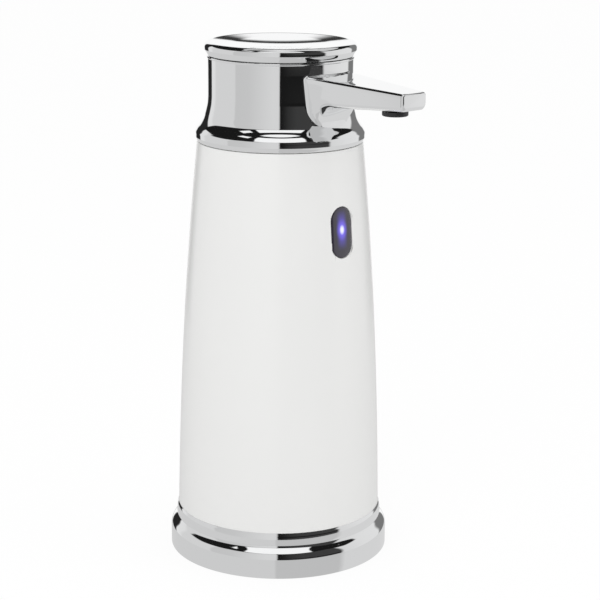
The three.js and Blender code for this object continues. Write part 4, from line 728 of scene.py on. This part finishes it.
def section(bottom, top, low_radius, high_radius, lean):
    """Points round one ring: (across, reach, height), rounded at its corners."""
    tall = math.dist(bottom, top)
    points = []

    def width(level):
        reach = bottom[0] + (top[0] - bottom[0]) * level / tall
        return spout_half(reach) * (1 - lean * (1 - level / tall))

    def put(across, level):
        share = level / tall
        points.append((across, bottom[0] + (top[0] - bottom[0]) * share,
                       bottom[1] + (top[1] - bottom[1]) * share))

    def corner(side, radius, low):
        for k in range(corner_steps + 1):
            angle = math.pi / 2 * k / corner_steps
            if side * (1 if low else -1) < 0:
                angle = math.pi / 2 - angle
            level = radius * (1 - math.cos(angle)) if low else tall - radius * (1 - math.cos(angle))
            put(side * (width(level) - radius * (1 - math.sin(angle))), level)

    corner(1, low_radius, True)
    for k in range(1, side_steps):
        level = low_radius + (tall - low_radius - high_radius) * k / side_steps
        put(width(level), level)
    corner(1, high_radius, False)
    for k in range(1, side_steps):
        put((width(tall) - high_radius) * (1 - 2 * k / side_steps), tall)
    corner(-1, high_radius, False)
    for k in range(1, side_steps):
        level = tall - high_radius - (tall - low_radius - high_radius) * k / side_steps
        put(-width(level), level)
    corner(-1, low_radius, True)
    for k in range(1, side_steps):
        put(-(width(0) - low_radius) * (1 - 2 * k / side_steps), 0)
    return points


def ring_at(share):
    """The ring at a share of the way; near the neck it narrows downwards and its foot is rounder."""
    bottom, top = spout_line(share)
    early = max(1 - share / arch_share, 0)
    return section(bottom, top, low_round + root_round * early, high_round, root_lean * early)


print("points round a spout ring:", len(ring_at(0)))

# %% [markdown]
# The first rings make the fillet: each point slides from the neck's surface round the corner on to the
# spout. A boolean with a bevel would be the usual way, but such a bevel breaks easily where the shield runs
# out on the flare. The last rings draw in to the rounded nose, which is bowed a little across.

# %% Build the spout
fillet_steps, fillet, shield_centre, overlap = 6, 1.3, 211.5, 0.03
fade_foot, fade_height, least_fillet = 201, 6, 0.25
ring_steps, first_share, last_share = 40, 0.05, 0.985
nose, nose_angles, bow, buried = 1.5, (15, 30, 45, 60, 75, 88), 0.45, 2.0
spout_smooth_limit = math.radians(40)


def on_neck(across, height, lift=0.0):
    """The point of the neck's front at a distance across and a height."""
    return (across, math.sqrt((neck_radius(height) + lift) ** 2 - across ** 2), height)


def fillet_rings():
    """Rings round the fillet, which gets smaller towards the shield's foot."""
    corners = [on_neck(x, z) for x, _, z in ring_at(0)]
    rings = []
    for step in range(fillet_steps + 1):
        t = step / fillet_steps
        ring = []
        for k, (x, reach, z) in enumerate(corners):
            before, after = corners[k - 1], corners[(k + 1) % len(corners)]
            tangent = Vector((after[0] - before[0], after[2] - before[2])).normalized()
            outward = Vector((tangent.y, -tangent.x))
            if outward.dot(Vector((x, z - shield_centre))) < 0:
                outward.negate()
            size = fillet * min(max((z - fade_foot) / fade_height, least_fillet), 1)
            start = Vector(on_neck(x + outward.x * size, z + outward.y * size, -overlap))
            middle = Vector((x, reach, z))
            end = Vector((x, reach + size, z))
            ring.append(start * (1 - t) ** 2 + middle * 2 * t * (1 - t) + end * t ** 2)
        rings.append(ring)
    return rings


def spout_rings():
    """All rings from inside the neck's wall to the tip, each a list of (across, reach, height)."""
    rings = fillet_rings()
    rings.insert(0, [Vector((x, reach - buried, z)) for x, reach, z in rings[0]])
    for k in range(ring_steps):
        rings.append([Vector(p) for p in ring_at(first_share + (1 - first_share) * k / ring_steps)])
    (_, low_edge), _ = spout_line(last_share)
    for angle in nose_angles:
        a = math.radians(angle)
        draw = nose * (1 - math.cos(a))
        reach = tip_reach - nose + nose * math.sin(a)
        bottom, top = (reach, low_edge + draw), (reach, spout_top(reach) - draw / 3)
        ring = section(bottom, top, low_round, high_round, 0.0)
        shrink = 1 - draw / 3 / spout_half(reach)
        rings.append([Vector((x * shrink, y - bow * (x / tip_half) ** 2, z)) for x, y, z in ring])
    return rings


def build_spout():
    select()
    rings = spout_rings()
    bpy.ops.mesh.primitive_circle_add(vertices=len(rings[0]), radius=10 * mm, fill_type="NGON")
    piece = bpy.context.object
    piece.name = "spout"
    bpy.ops.object.mode_set(mode="EDIT")
    bpy.ops.mesh.select_all(action="SELECT")
    for number, ring in enumerate(rings):
        if number:
            bpy.ops.mesh.extrude_region_move()
        mesh = bmesh.from_edit_mesh(piece.data)
        mesh.verts.ensure_lookup_table()
        picked = sorted((v for v in mesh.verts if v.select), key=lambda v: v.index)
        for vertex, (x, reach, z) in zip(picked, ring):
            vertex.co = (x * mm, -reach * mm, z * mm)
        bmesh.update_edit_mesh(piece.data)
    bpy.ops.mesh.select_all(action="SELECT")
    bpy.ops.mesh.normals_make_consistent(inside=False)
    bpy.ops.object.mode_set(mode="OBJECT")
    bpy.ops.object.shade_smooth_by_angle(angle=spout_smooth_limit)
    return piece


spout = build_spout()
select(spout, neck)
bpy.ops.object.join()
neck.name = "head"
dress(neck, "housing", "chrome_shell", "head_shell")

# %% [markdown]
# The nozzle is a short black drum with rounded edges, pushed into the spout's underside, and the outlet in
# its middle holds a soft slit disc. It could be a bevelled cylinder, but the outlet and its step come free
# with a profile. It is turned on the body's axis and then moved under the spout.

# %% Nozzle
nozzle_reach = 70.2
nozzle_profile = (
    [(3.1, 208.19)] + arc(5.0, 208.7, 0.55, -90, 0, 6, 0.5) + [(5.55, 210.1), (5.45, 210.19), (2.4, 210.19)]
    + [(2.4, 211.09), (1.1, 211.09), (1.1, 209.39), (3.1, 209.39)]
)
nozzle = turned("nozzle", nozzle_profile, 64)
nozzle.location.y = -nozzle_reach * mm
bpy.ops.object.transform_apply(location=True)
dress(nozzle, "housing", "black_plastic", "nozzle_tip")

# %% [markdown]
# The lid is one pressing too. Its foot flares outwards like the mouth of a horn, up to a short upright rim.
# Above the rim it rolls over to a flat border, and a shallow dish fills the middle. A cylinder with two
# bevels would give the rim, but not the horn and the dish, so it is turned like the rest, with its plug,
# and closes on the axis.

# %% Lid
lid_foot, lid_top, lid_roll = 227.49, 233.29, 2.54
border_radius, dish_radius, border_fall, dish_depth = 31.7, 21.0, 0.8, 1.0
flare_radius, flare_spread, flare_rise, flare_bend = 32.65, 1.2, 2.3, 1.6
flare_rings, dish_rings = 12, 24

flare_shares = [k / flare_rings for k in range(1, flare_rings)]
lid_flare = [(flare_radius + flare_spread * share ** flare_bend, lid_foot + flare_rise * share)
             for share in flare_shares]
border_width = border_radius - dish_radius
border = [(border_radius - k, lid_top - border_fall * k / border_width) for k in range(1, 10)]
dish_shares = [1 - k / dish_rings for k in range(dish_rings + 1)]
dish = [(dish_radius * share, lid_top - border_fall - dish_depth * (1 - share ** 2)) for share in dish_shares]
lid_profile = (
    [(0, 229.59), (17.9, 229.59), (17.9, 217.39), (19.7, 217.39), (19.7, 229.59), (31.15, 229.59),
     (31.15, 227.6), (31.3, lid_foot), (32.6, lid_foot)]
    + lid_flare
    + [(flare_radius + flare_spread, lid_foot + flare_rise)]
    + arc(33.8, 230.05, 0.15, -60, 0, 4)
    + [(33.95, 230.25), (33.95, 230.6)]
    + arc(border_radius, lid_top - lid_roll, 2.25, 0, 90, 24, lid_roll)
    + border
    + dish
)
dress(turned("lid_cap", lid_profile), "lid_body", "chrome_shell", "lid")
